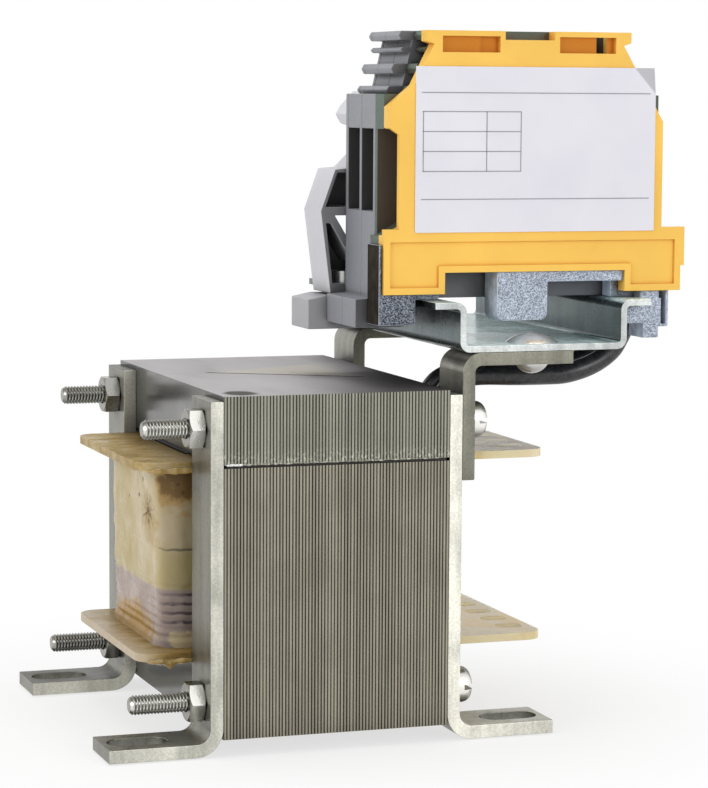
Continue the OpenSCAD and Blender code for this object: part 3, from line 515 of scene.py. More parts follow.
def tape_look():
    """Cream tape with brown stains, a pale violet lower band with wire lines, amber varnish at its foot.

    Its left front is dimmed as painted shade, a painted shadow line runs along the lap, and corners get
    painted shade.
    """
    look = Look("tape")
    x, y, z = look.split(look.place)
    warp = look.noise(130.0, 3.0, 0.6)
    rag = look.noise(420.0, 4.0, 0.65)
    height = look.math("ADD", look.times(z, 1.0 / MM), look.times(warp, TAPE_WARP))
    cream = look.ramp(look.noise(80.0, 3.0, 0.55), [
        (0.3, (0.47, 0.38, 0.15)), (0.5, (0.54, 0.44, 0.23)), (0.72, (0.66, 0.55, 0.38))])
    violet = look.ramp(look.noise(160.0, 3.0, 0.6), [(0.3, (0.36, 0.28, 0.24)), (0.7, (0.5, 0.41, 0.37))])
    band_top = LAP_HEIGHTS[1]
    colour = look.mix(look.span(height, band_top, band_top + BAND_EDGE, 1.0, 0.0), cream, violet)
    leftward = look.math("LESS_THAN", x, 0.0)
    front = look.times(look.zone(y, *COIL_TURN, 1.0, 0.0), leftward)
    # Painted shade on the left front of the coil
    colour = look.dim(colour, look.span(front, 0.0, 1.0, 1.0, 0.66))
    wires = 0.0
    for wire in WIRE_HEIGHTS:
        away = look.math("ABSOLUTE", look.math("SUBTRACT", height, wire + TAPE_WARP / 2))
        wires = look.math("MAXIMUM", look.span(away, 0.4 * WIRE_HALF, WIRE_HALF, 0.9, 0.0), wires)
    wires = look.times(wires, look.span(look.noise(260.0, 2.0), 0.34, 0.46, 0.5, 1.0))
    colour = look.mix(look.times(wires, front), colour, (0.07, 0.045, 0.055))
    # Painted shadow line along the edge of the lap
    lap = look.math("ABSOLUTE", look.math("SUBTRACT", height, LAP_HEIGHTS[0] + TAPE_WARP / 2))
    lap_shadow = look.times(look.span(lap, *LAP_HALF, 0.85, 0.0), front)
    colour = look.mix(lap_shadow, colour, (0.12, 0.1, 0.07))
    stains = (
        (SMEAR_AT, SMEAR_RADII, 0.6, (0.44, 0.31, 0.11)), (PATCH_AT, PATCH_RADII, 0.8, (0.36, 0.22, 0.075)),
        (BLOT_AT, BLOT_RADII, 0.85, (0.13, 0.075, 0.025)), (POOL_AT, POOL_RADII, 0.95, (0.44, 0.26, 0.06)),
        (CREAM_AT, CREAM_RADII, 0.9, (0.55, 0.46, 0.28)),
    )
    for place, radii, share, tone in stains:
        colour = look.mix(look.times(look.spot(place, radii, rag), share), colour, tone)
    colour = look.mix(look.times(star_rays(look, y, z, rag), leftward), colour, (0.2, 0.11, 0.035))
    for place in TAPE_SPECKS:
        colour = look.mix(look.spot(place, (SPECK_R, SPECK_R, SPECK_R), warp), colour, (0.13, 0.06, 0.025))
    crease = look.noise(320.0, 4.0, 0.6, (1.0, 1.0, 0.6))
    return look.set(
        Base_Color=look.dim(colour, look.painted_shade(4.0, 0.45)),
        Roughness=look.span(crease, 0.3, 0.7, 0.2, 0.45),
        Specular_IOR_Level=0.15,
        Subsurface_Weight=0.1,
        Subsurface_Radius=(0.002, 0.0014, 0.0007),
        Subsurface_Scale=0.4,
        Normal=look.bump(crease, 0.4, 0.0003),
    )


# Bands on the flanges, in millimetres: brown to pale along X, lower to upper along Z, the pale left end, and
# where the soaked middle begins and ends
BOARD_PALE = (-10.0, 10.0)
BOARD_LOW = (20.0, 30.0)
BOARD_END = (-27.5, -23.5)
SOAKED_FROM = (-25.0, -19.0)
SOAKED_TO = (0.0, 10.0)


def fibre_look():
    """Bobbin board soaked with varnish: brown on the left, pale at its lower left end, clear on the right.

    Upward faces on the right are paler, partly from the varnish and partly as painted light, and corners get
    painted shade.
    """
    look = Look("varnished_board")
    pools = look.noise(95.0, 4.0, 0.6)
    streaks = look.noise(380.0, 4.0, 0.65, (0.45, 1.0, 1.0))
    fine = look.noise(700.0, 3.0, 0.6)
    brown = look.ramp(streaks, [
        (0.32, (0.27, 0.17, 0.055)), (0.5, (0.42, 0.3, 0.11)), (0.68, (0.56, 0.45, 0.26))])
    amber = look.ramp(pools, [
        (0.32, (0.68, 0.5, 0.2)), (0.5, (0.88, 0.75, 0.46)), (0.7, (0.92, 0.82, 0.58))])
    clear = look.ramp(pools, [
        (0.36, (0.95, 0.74, 0.38)), (0.5, (1.0, 0.88, 0.68)), (0.7, (1.0, 0.92, 0.78))])
    x, _, z = look.split(look.place)
    upward = look.span(look.normal()[2], 0.5, 0.9)
    # Upward faces on the right take the palest tone, partly the varnish's own and partly painted light
    colour = look.mix(look.zone(x, *BOARD_PALE), brown, look.mix(upward, amber, clear))
    lower = look.zone(z, *BOARD_LOW, 1.0, 0.0)
    pale_end = look.times(look.zone(x, *BOARD_END, 0.85, 0.0), lower)
    colour = look.mix(pale_end, colour, (0.58, 0.49, 0.37))
    soaked = look.times(
        look.zone(x, *SOAKED_FROM), look.zone(x, *SOAKED_TO, 1.0, 0.0), look.span(upward, 0.0, 1.0, 0.0, 0.8))
    colour = look.mix(soaked, colour, look.mix(lower, (0.14, 0.085, 0.025), (0.34, 0.2, 0.05)))
    return look.set(
        Base_Color=look.dim(colour, look.painted_shade(4.0, 0.5)),
        Roughness=look.span(pools, 0.3, 0.7, 0.15, 0.4),
        Specular_IOR_Level=0.05,
        Subsurface_Weight=0.2,
        Subsurface_Radius=(0.002, 0.0014, 0.0006),
        Subsurface_Scale=0.5,
        Normal=look.bump(fine, 0.1, 0.0002),
    )


def varnish_look(name, colour, gloss):
    """Hardened varnish: clouded and slightly see-through, from matt at a gloss of 0 to wet at 1."""
    look = Look(name)
    clouds = look.noise(260.0, 3.0, 0.6)
    return look.set(
        Base_Color=look.ramp(clouds, [(0.3, shade(colour, 0.75)), (0.7, shade(colour, 1.2))]),
        Roughness=look.span(clouds, 0.3, 0.7, 0.08, 0.2),
        Specular_IOR_Level=0.05 + 0.45 * gloss,
        Coat_Weight=0.5 * gloss,
        Coat_Roughness=0.05,
        Subsurface_Weight=0.3,
        Subsurface_Radius=(0.002, 0.0014, 0.0006),
        Subsurface_Scale=0.5,
    )


def sleeve_look():
    """Black lead sleeve with a fine braid and a soft sheen."""
    look = Look("black_sleeve")
    braid = look.cells(2200.0)
    return look.set(
        Base_Color=look.ramp(braid, [(0.2, (0.016, 0.016, 0.018)), (0.8, (0.036, 0.035, 0.038))]),
        Roughness=look.span(look.noise(300.0), 0.3, 0.7, 0.22, 0.4),
        Normal=look.bump(braid, 0.1, 0.0001),
    )


def paper_look():
    """Smooth label sheet with a faint violet cast, and painted shade in the corner that is bent back."""
    look = Look("label_sheet")
    cloud = look.noise(70.0, 3.0, 0.5)
    fibre = look.noise(1800.0, 2.0, 0.6)
    x, _, z = look.split(look.place)
    # Painted shade on the bent-back corner of the sheet
    aside = look.math("DIVIDE", look.math("SUBTRACT", LABEL_RIGHT * MM, x), FOLD_X * MM)
    below = look.math("DIVIDE", look.math("SUBTRACT", LABEL_TOP * MM, z), FOLD_Z * MM)
    fold_shade = look.span(look.math("ADD", aside, below), 0.92, 1.02, 1.0, 0.0)
    sheet = look.ramp(cloud, [(0.3, (0.74, 0.73, 0.8)), (0.7, (0.81, 0.8, 0.85))])
    return look.set(
        Base_Color=look.mix(fold_shade, sheet, (0.5, 0.5, 0.53)),
        Roughness=look.span(fibre, 0.3, 0.7, 0.38, 0.5),
        Normal=look.bump(fibre, 0.04, 0.0001),
    )


def metal_look(name, colour, rough):
    """Small bright metal parts with a fine scratch grain."""
    look = Look(name)
    scratch = look.noise(900.0, 3.0, 0.7, (1.0, 1.0, 0.15))
    return look.set(
        Base_Color=look.ramp(scratch, [(0.3, shade(colour, 0.8)), (0.7, shade(colour, 1.1))]),
        Metallic=0.9,
        Roughness=look.span(scratch, 0.3, 0.7, rough - 0.08, rough + 0.08),
    )


# Hollows painted in shade: the earth terminal's marker pockets and wire entries, the grey terminals' entries
POCKET = (-25.7, 102.0, 106.5)
EARTH_ENTRY = (-24.0, 75.6, 91.4)
WIRE_ENTRY = (-19.0, 79.0, 91.4)

# Looks: deep colours and front shares below 1 in the plastics are painted shade
LOOKS = {
    "e_lamination": lamination_look(
        "e_lamination", (0.31, 0.29, 0.228), (0.095, 0.087, 0.07), (0.17, 0.17, 0.165), (0.3, 0.295, 0.31),
        (0.0, 1.0)),
    "i_lamination": lamination_look(
        "i_lamination", (0.3, 0.295, 0.243), (0.12, 0.117, 0.096), (0.17, 0.17, 0.165), (0.5, 0.48, 0.49),
        (43.0, 45.4)),
    "spacer": plastic_look("spacer", (0.1, 0.09, 0.08), (0.02, 0.018, 0.016), rough=0.6),
    "fibre": fibre_look(),
    "varnish": varnish_look("varnish", (0.5, 0.34, 0.11), 1.0),
    "slot_varnish": varnish_look("slot_varnish", (0.92, 0.66, 0.17), 0.0),
    "copper": metal_look("copper", (0.6, 0.25, 0.1), 0.4),
    "tape": tape_look(),
    "strip_zinc": plate_look("strip_zinc", (0.23, 0.225, 0.19), (0.65, 0.64, 0.56), (0.225, 0.22, 0.185)),
    "bracket_zinc": plate_look("bracket_zinc", (0.3, 0.295, 0.25), (0.19, 0.187, 0.15), (0.3, 0.29, 0.26)),
    "rail_zinc": plate_look(
        "rail_zinc", (0.13, 0.165, 0.17), (0.48, 0.505, 0.495), (0.42, 0.54, 0.535), (0.16, 0.3)),
    "bolt_zinc": zinc_look("bolt_zinc", (0.26, 0.255, 0.22), (0.95, 0.94, 0.89), 0.85, (0.16, 0.28)),
    "rivet_zinc": zinc_look("rivet_zinc", (0.92, 0.91, 0.88), (0.92, 0.91, 0.88), 0.65, (0.14, 0.24)),
    "foot_zinc": grainy_look("foot_zinc", (0.36, 0.4, 0.47), (0.04, 0.035, 0.028)),
    "yellow": plastic_look(
        "yellow", (1.0, 0.61, 0.125), (0.62, 0.22, 0.02), reach=2.4, open_share=0.35, rough=0.42, gloss=0.1,
        hollow=POCKET),
    "green": plastic_look(
        "green", (0.085, 0.125, 0.095), (0.085, 0.07, 0.052), rough=0.42, gloss=0.3, hollow=EARTH_ENTRY),
    "grey": plastic_look(
        "grey", (0.28, 0.285, 0.31), (0.05, 0.048, 0.046), reach=1.2, front=0.5, gloss=0.35,
        hollow=WIRE_ENTRY),
    "pale": plastic_look("pale", (0.66, 0.655, 0.69), (0.09, 0.09, 0.095), reach=4.0, front=0.4),
    "jaw": plastic_look("jaw", (0.44, 0.435, 0.455), (0.12, 0.12, 0.13), reach=3.0),
    "brass": metal_look("brass", (0.72, 0.5, 0.18), 0.35),
    "steel": metal_look("steel", (0.6, 0.6, 0.58), 0.32),
    "sleeve": sleeve_look(),
    "paper": paper_look(),
    "ink": plastic_look("ink", (0.3, 0.3, 0.33), (0.2, 0.2, 0.22), rough=0.6),
}
STRIPS = [f"foot_strip_{end}_{side}" for end in ("front", "rear") for side in ("left", "right")]
BRACKETS = ["rail_bracket_front", "rail_bracket_rear"]
TERMINALS = ["terminal_front", "terminal_rear", "terminal_cover"]
# Nodes that wear each look
WEARERS = {
    "e_lamination": ["e_core"], "i_lamination": ["i_yoke"], "spacer": ["gap_spacer"], "fibre": ["bobbin"],
    "copper": ["winding"], "tape": ["coil_wrap"], "strip_zinc": STRIPS, "bracket_zinc": BRACKETS,
    "rail_zinc": ["mounting_rail"], "bolt_zinc": ["through_bolts", "hex_nuts"], "rivet_zinc": ["rail_rivets"],
    "foot_zinc": ["earth_foot"], "yellow": ["earth_front"], "green": ["earth_rear"], "grey": TERMINALS,
    "pale": ["end_clamp"], "jaw": ["end_clamp_jaw"], "brass": ["earth_bar", "terminal_bars"],
    "steel": ["earth_cages", "terminal_cages", "cage_screws", "end_clamp_screw", "lead_ferrules"],
    "sleeve": ["lead_front", "lead_rear"], "paper": ["rating_label"],
}
# Nodes whose edges are rounded to each width in millimetres
ROUNDED = {
    0.15: ["mounting_rail", "earth_rear", "earth_foot", *TERMINALS],
    0.2: ["earth_front"],
    0.25: ["end_clamp"],
    0.3: ["end_clamp_jaw", "bobbin", *STRIPS, *BRACKETS],
}
WELD_MM = 0.01
FLAT_DEG = 0.5
SHARP_DEG = 35


def round_edges(piece, width):
    """Welds a node's split corners and rounds its sharp edges, by modifiers alone."""
    weld = piece.modifiers.new("weld", "WELD")
    weld.merge_threshold = WELD_MM * MM
    whole = piece.modifiers.new("whole_faces", "DECIMATE")
    whole.decimate_type = "DISSOLVE"
    whole.angle_limit = math.radians(FLAT_DEG)
    bevel = piece.modifiers.new("edges", "BEVEL")
    bevel.width = width * MM
    bevel.segments = 2
    bevel.limit_method = "ANGLE"
    bevel.angle_limit = math.radians(SHARP_DEG)
    bevel.use_clamp_overlap = True
    flat = piece.modifiers.new("flat", "WEIGHTED_NORMAL")
    flat.weight = 100


for look_name, wearers in WEARERS.items():
    for node_name in wearers:
        mesh = nodes[node_name].data
        mesh.materials.clear()
        mesh.materials.append(LOOKS[look_name])
for edge_width, rounded in ROUNDED.items():
    for node_name in rounded:
        round_edges(nodes[node_name], edge_width)


# Angles up to which neighbouring faces are shaded as one, for turned pieces and for soft ones
TURNED_DEG = 40.0
ROUND_DEG = 60.0


def piece_from(name, points, faces, look, smooth_deg=TURNED_DEG):
    """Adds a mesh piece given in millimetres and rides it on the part."""
    mesh = bpy.data.meshes.new(name)
    mesh.from_pydata([tuple(c * MM for c in p) for p in points], [], faces)
    mesh.validate()
    mesh.polygons.foreach_set("use_smooth", [True] * len(mesh.polygons))
    mesh.set_sharp_from_angle(angle=math.radians(smooth_deg))
    mesh.materials.append(LOOKS[look])
    piece = bpy.data.objects.new(name, mesh)
    bpy.context.scene.collection.objects.link(piece)
    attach(piece, "root")
    return piece


def turns(sides, start=0.0):
    """Angles of evenly spaced points round a ring."""
    return [2 * math.pi * (k + start) / sides for k in range(sides)]


def rings_to_faces(rings, sides, start=0, looped=False):
    """Quads between consecutive rings of points, with a cap at each end unless the last joins the first."""
    faces = []
    for i in range(rings if looped else rings - 1):
        a = start + i * sides
        b = start + (i + 1) % rings * sides
        for k in range(sides):
            n = (k + 1) % sides
            faces.append((a + k, a + n, b + n, b + k))
    if not looped:
        faces.append(tuple(start + k for k in reversed(range(sides))))
        faces.append(tuple(start + (rings - 1) * sides + k for k in range(sides)))
    return faces


# Bolts: thread on the free end, plain shank in the core, slotted pan head
THREAD_PITCH = 0.5
THREAD_DEPTH = 0.3
THREAD_STEPS = 6
BOLT_SIDES = 28
TIP_CHAMFER = 0.5
HEAD_STEPS = 8
HEAD_FOOT = 0.15


def bolt_profile(x, turn, tip, shank):
    """Radius of a bolt at x and at a turn of 0 to 1 round it."""
    outer = BOLT_D / 2
    if x >= shank:
        return outer
    wave = (x / THREAD_PITCH + turn) % 1.0
    groove = THREAD_DEPTH * abs(2 * wave - 1)
    slope = max(0.0, TIP_CHAMFER - (x - tip))
    return min(outer - groove, outer - slope)


def bolt_points(seat, y, z):
    """Rings of points from the tip of a bolt to the crown of its head, and the number of rings."""
    tip = seat - BOLT_L
    shank = -HALF_STACK
    stations = []
    x = tip
    while x < shank:
        stations.append(x)
        x += THREAD_PITCH / THREAD_STEPS
    stations += [shank, seat]
    rings = []
    for x in stations:
        for k in range(BOLT_SIDES):
            turn = k / BOLT_SIDES
            r = bolt_profile(x, turn, tip, shank)
            rings.append((x, y + r * math.cos(2 * math.pi * turn), z + r * math.sin(2 * math.pi * turn)))
    head = [(0.0, HEAD_D / 2 - HEAD_FOOT), (HEAD_FOOT, HEAD_D / 2), (HEAD_SIDE, HEAD_D / 2)]
    for step in range(1, HEAD_STEPS + 1):
        lean = math.pi / 2 * step / HEAD_STEPS
        r = HEAD_D / 2 * (HEAD_CROWN + (1 - HEAD_CROWN) * math.cos(lean))
        head.append((HEAD_SIDE + (HEAD_H - HEAD_SIDE) * math.sin(lean), r))
    for out, r in head:
        for turn in turns(BOLT_SIDES):
            rings.append((seat + out, y + r * math.cos(turn), z + r * math.sin(turn)))
    return rings, len(stations) + len(head)


def cut_box(piece, low, high):
    """Cuts a box, given in millimetres, out of a piece."""
    mesh = bpy.data.meshes.new("cutter")
    work = bmesh.new()
    bmesh.ops.create_cube(work, size=1.0)
    size = [(h - l) * MM for l, h in zip(low, high)]
    middle = [(h + l) / 2 * MM for l, h in zip(low, high)]
    work.transform(Matrix.Translation(middle) @ Matrix.Diagonal((*size, 1.0)))
    work.to_mesh(mesh)
    work.free()
    cutter = bpy.data.objects.new("cutter", mesh)
    bpy.context.scene.collection.objects.link(cutter)
    cut = piece.modifiers.new("cut", "BOOLEAN")
    cut.operation = "DIFFERENCE"
    cut.solver = "EXACT"
    cut.object = cutter
    bpy.context.view_layer.update()
    result = bpy.data.meshes.new_from_object(piece.evaluated_get(bpy.context.evaluated_depsgraph_get()))
    piece.modifiers.remove(cut)
    old = piece.data
    piece.data = result
    bpy.data.meshes.remove(old)
    bpy.data.objects.remove(cutter)
    bpy.data.meshes.remove(mesh)
    piece.data.set_sharp_from_angle(angle=math.radians(SHARP_DEG))


BOLTS = [
    (seat, y, z)
    for y in (-BOLT_Y, BOLT_Y)
    for seat, z in ((STRIP_X, BOLT_LOW_Z), (STRIP_X + BRACKET_T, BOLT_HIGH_Z))
]
for index, (seat, y, z) in enumerate(BOLTS):
    points, rings = bolt_points(seat, y, z)
    faces = rings_to_faces(rings, BOLT_SIDES)
    bolt = piece_from(f"threaded_bolt_{index + 1}", points, faces, "bolt_zinc")
    slot_low = (seat + HEAD_H / 2, y - HEAD_D, z - HEAD_SLOT / 2)
    slot_high = (seat + 2 * HEAD_H, y + HEAD_D, z + HEAD_SLOT / 2)
    cut_box(bolt, slot_low, slot_high)
    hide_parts("through_bolts")


# Nuts with chamfered corners
NUT_SIDES = 72
NUT_CHAMFER = math.tan(math.radians(30))
NUT_PLAY = 0.03
NUT_FACE = 0.98
NUT_DEG = 25.0


def nut_points(x0, y, z):
    """Six rings of points: bore, face and corner on one side of a nut, then the same on the other."""
    inner = BOLT_D / 2 + NUT_PLAY
    circle = NUT_AF / 2 * NUT_FACE
    rings = [[], [], [], [], [], []]
    for turn in turns(NUT_SIDES):
        from_flat = (turn + math.pi / 6) % (math.pi / 3) - math.pi / 6
        corner = NUT_AF / 2 / math.cos(from_flat)
        drop = (corner - circle) * NUT_CHAMFER
        low_side = ((0, inner), (0, circle), (drop, corner))
        high_side = ((NUT_H - drop, corner), (NUT_H, circle), (NUT_H, inner))
        for ring, (x, r) in zip(rings, low_side + high_side):
            ring.append((x0 + x, y + r * math.sin(turn), z + r * math.cos(turn)))
    return [p for ring in rings for p in ring]


nut_faces = [tuple(reversed(face)) for face in rings_to_faces(6, NUT_SIDES, looped=True)]
for index, (_, y, z) in enumerate(BOLTS):
    points = nut_points(-STRIP_X - NUT_H, y, z)
    nut = piece_from(f"hex_nut_{index + 1}", points, nut_faces, "bolt_zinc", NUT_DEG)
    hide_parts("hex_nuts")


# Tape round the coil, in millimetres: overlapping turns, wrinkles and the ridges of wires in the lower band
WRAP_ROWS = 110
WRAP_STEP = 0.45
WRINKLE = 0.16
CREASE = 0.14
LAP_WAVE = 0.8
LAP_STEEP = 9
RIDGE = 0.07
RIDGE_TURN = 4.9
STAR_RELIEF = 0.2
STAR_DIP = 0.25
WRAP_RIM = 1.5


def wrap_outline():
    """Points and outward directions round the coil, as X and Y."""
    straight_x = COIL_X - COIL_R
    straight_y = COIL_Y - COIL_R
    outline = []
    corners = ((straight_x, straight_y, 0), (-straight_x, straight_y, 90),
               (-straight_x, -straight_y, 180), (straight_x, -straight_y, 270))
    for index, (cx, cy, start) in enumerate(corners):
        steps = int(COIL_R * math.pi / 2 / WRAP_STEP)
        for i in range(steps + 1):
            turn = math.radians(start + 90 * i / steps)
            out = (math.cos(turn), math.sin(turn))
            outline.append((cx + COIL_R * out[0], cy + COIL_R * out[1], out[0], out[1]))
        nx, ny, _ = corners[(index + 1) % 4]
        end = outline[-1]
        run = math.hypot(nx - cx, ny - cy)
        count = int(run / WRAP_STEP)
        for i in range(1, count):
            share = i / count
            outline.append((end[0] + (nx - cx) * share, end[1] + (ny - cy) * share, end[2], end[3]))
    return outline


def wrap_relief(x, y, z):
    """How far the tape stands out at a point, in millimetres."""
    wrinkle = noise.noise(Vector((x * 0.22, y * 0.22, z * 0.3))) * WRINKLE
    crease = abs(noise.noise(Vector((x * 0.5 + 7, y * 0.5, z * 0.35)))) * -CREASE
    relief = wrinkle + crease
    for height, depth in zip(LAP_HEIGHTS, LAP_DEPTHS):
        edge = height + noise.noise(Vector((x * 0.1, y * 0.1, 3.0))) * LAP_WAVE
        relief -= depth / (1 + math.exp((z - edge) * LAP_STEEP))
    if z < LAP_HEIGHTS[1]:
        relief += RIDGE * math.sin(z * RIDGE_TURN)
    reach = math.hypot(y - STAR_Y, z - STAR_Z)
    if x < 0 and reach < STAR_R:
        turn = math.atan2(z - STAR_Z, y - STAR_Y)
        ray = math.sin(STAR_RAYS * turn + 3 * noise.noise(Vector((y * 0.4, z * 0.4, 9.0))))
        relief += STAR_RELIEF * ray * (1 - reach / STAR_R) - STAR_DIP * max(0.0, 1 - reach)
    rim = min(z - COIL_LOW, COIL_HIGH - z)
    return relief * min(1.0, rim / WRAP_RIM)


outline = wrap_outline()
wrap_points = []
for row in range(WRAP_ROWS + 1):
    z = COIL_LOW + (COIL_HIGH - COIL_LOW) * row / WRAP_ROWS
    for x, y, out_x, out_y in outline:
        relief = wrap_relief(x, y, z)
        wrap_points.append((x + out_x * relief, y + out_y * relief, z))
for z in (COIL_HIGH, COIL_LOW):
    for x, y, out_x, out_y in outline:
        wrap_points.append((x - out_x * WRAP_T, y - out_y * WRAP_T, z))
wrap_faces = rings_to_faces(WRAP_ROWS + 3, len(outline), looped=True)
wrap = piece_from("taped_coil", wrap_points, wrap_faces, "tape", ROUND_DEG)
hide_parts("coil_wrap")


# Smooth sleeves on the leads
LEAD_SIDES = 20
LEAD_STEPS = 6


def smooth_route(route):
    """Points of a Catmull-Rom curve through the route."""
    ends = [2 * route[0] - route[1]] + list(route) + [2 * route[-1] - route[-2]]
    points = []
    for i in range(1, len(ends) - 2):
        a, b, c, d = ends[i - 1:i + 3]
        for step in range(LEAD_STEPS):
            t = step / LEAD_STEPS
            points.append(0.5 * (2 * b + (c - a) * t + (2 * a - 5 * b + 4 * c - d) * t * t
                                 + (3 * b - a - 3 * c + d) * t ** 3))
    points.append(route[-1])
    return points


def tube(route, radius, sides):
    """Rings of points round a route, turned as little as possible from one to the next."""
    rings = []
    side = Vector((0, 1, 0))
    for i, middle in enumerate(route):
        run = (route[min(i + 1, len(route) - 1)] - route[max(i - 1, 0)]).normalized()
        side = (side - run * side.dot(run)).normalized()
        up = run.cross(side)
        for turn in turns(sides):
            rings.append(tuple(middle + radius * (math.cos(turn) * side + math.sin(turn) * up)))
    return rings


for node_name, middle_y in zip(("lead_front", "lead_rear"), LEAD_Y):
    route = smooth_route([Vector((x, middle_y + shift, z)) for x, shift, z in LEAD_ROUTE])
    rings = tube(route, LEAD_D / 2, LEAD_SIDES)
    faces = rings_to_faces(len(route), LEAD_SIDES)
    lead = piece_from(f"sleeved_{node_name}", rings, faces, "sleeve", ROUND_DEG)
    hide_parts(node_name)


# Label sheet with one corner bent back, and its printed rules without words
LABEL_CELLS = (48, 30)


def label_bend(x, z):
    """How far the sheet lies back at a point, in millimetres."""
    return FOLD_DEPTH * max(0.0, 1 - (LABEL_RIGHT - x) / FOLD_X - (LABEL_TOP - z) / FOLD_Z)


def label_grid():
    """Points and faces of the sheet: a grid on its front and its back, closed round the rim."""
    points = []
    across, up = LABEL_CELLS
    for y in (LABEL_FRONT, LABEL_BACK):
        for j in range(up + 1):
            for i in range(across + 1):
                x = LABEL_LEFT + (LABEL_RIGHT - LABEL_LEFT) * i / across
                z = LABEL_LOW + (LABEL_TOP - LABEL_LOW) * j / up
                points.append((x, y + label_bend(x, z), z))
    row = across + 1
    layer = row * (up + 1)
    faces = []
    for j in range(up):
        for i in range(across):
            a = j * row + i
            faces.append((a, a + 1, a + row + 1, a + row))
            faces.append((layer + a, layer + a + row, layer + a + row + 1, layer + a + 1))
    rim = list(range(row))
    rim += [j * row + across for j in range(1, up + 1)]
    rim += [up * row + i for i in reversed(range(across))]
    rim += [j * row for j in reversed(range(1, up))]
    for a, b in zip(rim, rim[1:] + rim[:1]):
        faces.append((a, layer + a, layer + b, b))
    return points, faces


sheet_points, sheet_faces = label_grid()
sheet = piece_from("label_sheet", sheet_points, sheet_faces, "paper", ROUND_DEG)
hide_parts("rating_label")

RULE_W = 0.14
RULE_T = 0.03
TABLE_LEFT = 1.1
TABLE_RIGHT = 16.7
TABLE_SPLIT = 11.2
TABLE_ROWS = (6.6, 9.55, 12.5, 15.45)
LONG_RULES = (3.8, 19.6)
RULE_MARGIN = 0.9


def rule_box(left, right, top, low):
    """Thin block on the label, given by its distances from the label's left and top edges."""
    xs = (LABEL_LEFT + left, LABEL_LEFT + right)
    ys = (LABEL_FRONT - RULE_T, LABEL_FRONT)
    zs = (LABEL_TOP - low, LABEL_TOP - top)
    points = [(x, y, z) for x in xs for y in ys for z in zs]
    faces = [(0, 1, 3, 2), (4, 6, 7, 5), (0, 4, 5, 1), (2, 3, 7, 6), (0, 2, 6, 4), (1, 5, 7, 3)]
    return points, faces


label_width = LABEL_RIGHT - LABEL_LEFT
rules = [(RULE_MARGIN, label_width - RULE_MARGIN, d, d + RULE_W) for d in LONG_RULES]
rules += [(TABLE_LEFT, TABLE_RIGHT, d, d + RULE_W) for d in TABLE_ROWS]
table_low = TABLE_ROWS[-1] + RULE_W
rules += [(x, x + RULE_W, TABLE_ROWS[0], table_low) for x in (TABLE_LEFT, TABLE_SPLIT, TABLE_RIGHT)]
rule_points = []
rule_faces = []
for rule in rules:
    points, faces = rule_box(*rule)
    rule_faces += [tuple(i + len(rule_points) for i in face) for face in faces]
    rule_points += points
piece_from("label_rules", rule_points, rule_faces, "ink")


# Burr along the lower edge of the upper stack, and a bright drop at its left end
BURR_SIDES = 8
BURR_STEPS = 140
BURR_Z = 42.9
BURR_MARGIN = 0.2
BURR_SIZE = 0.12
BURR_SWELL = 0.1
BURR_LEAST = 0.03
BURR_WAVE = 0.12
BURR_TAPER = 12
BURR_FLAT = 0.6
DROP_ENDS = (0.3, 3.0)
DROP_SIZE = 0.2
DROP_OUT = 0.05


def burr(y, left, right, size):
    """Uneven bead along X on the front of the core."""
    points = []
    for i in range(BURR_STEPS + 1):
        share = i / BURR_STEPS
        x = left + (right - left) * share
        taper = min(1.0, BURR_TAPER * share, BURR_TAPER * (1 - share))
        r = max(BURR_LEAST, taper * (size + BURR_SWELL * noise.noise(Vector((x * 1.7, y, 1.0)))))
        rise = BURR_WAVE * noise.noise(Vector((x * 0.7, 5.0, y)))
        for turn in turns(BURR_SIDES):
            points.append((x, y + BURR_FLAT * r * math.cos(turn), BURR_Z + rise + r * math.sin(turn)))
    return points


burr_faces = rings_to_faces(BURR_STEPS + 1, BURR_SIDES)
edge_burr = burr(CORE_FRONT, BURR_MARGIN - HALF_STACK, HALF_STACK - BURR_MARGIN, BURR_SIZE)
piece_from("seam_burr", edge_burr, burr_faces, "i_lamination", ROUND_DEG)
drop_left, drop_right = (end - HALF_STACK for end in DROP_ENDS)
silver = burr(CORE_FRONT - DROP_OUT, drop_left, drop_right, DROP_SIZE)
piece_from("seam_drop", silver, burr_faces, "steel", ROUND_DEG)


# Varnish: beads under the left front edges of the flanges, and skins in the pin slots
# Each bead has its height, its radius, its swell and the length of its drip
FLANGE_Y = -19.3
FLANGE_LEFT = -26.3
BEADS = ((40.95, 0.5, 0.25, 0.0), (12.45, 0.42, 0.2, 0.9))
BEAD_TAPER = 8
BEAD_TIP = 0.1
DRIP_X = -22.6
DRIP_HALF = 1.1
PIN_X = 34.1
PIN_PITCH = 6.5
PIN_HALF = (1.7, 0.7)
PINS_EACH_WAY = 2
FLANGE_ZS = (12.4, 41.0)
FLANGE_T = 1.2
SKIN_SIDES = 28
SKIN_DEG = 20.0
# Rings of a skin: height as a share of the board's thickness, then length and width as shares of the slot's
SKIN_RINGS = ((0.1, 0.98, 0.98), (0.99, 0.98, 0.98), (1.005, 1.2, 2.3), (1.015, 0.8, 1.4), (1.02, 0.05, 0.05))


def bead_points(z, size, swell, drip):
    """Uneven round bead along X under a flange."""
    points = []
    for i in range(BURR_STEPS + 1):
        share = i / BURR_STEPS
        x = FLANGE_LEFT + (-HALF_STACK - FLANGE_LEFT) * share
        taper = min(1.0, BEAD_TAPER * share + BEAD_TIP)
        r = taper * (size + swell * noise.noise(Vector((x * 0.8, z, 2.0))))
        hang = drip * max(0.0, 1 - abs(x - DRIP_X) / DRIP_HALF)
        for turn in turns(BURR_SIDES):
            low = hang * max(0.0, -math.sin(turn))
            points.append((x, FLANGE_Y + r * math.cos(turn), z + r * math.sin(turn) - low))
    return points


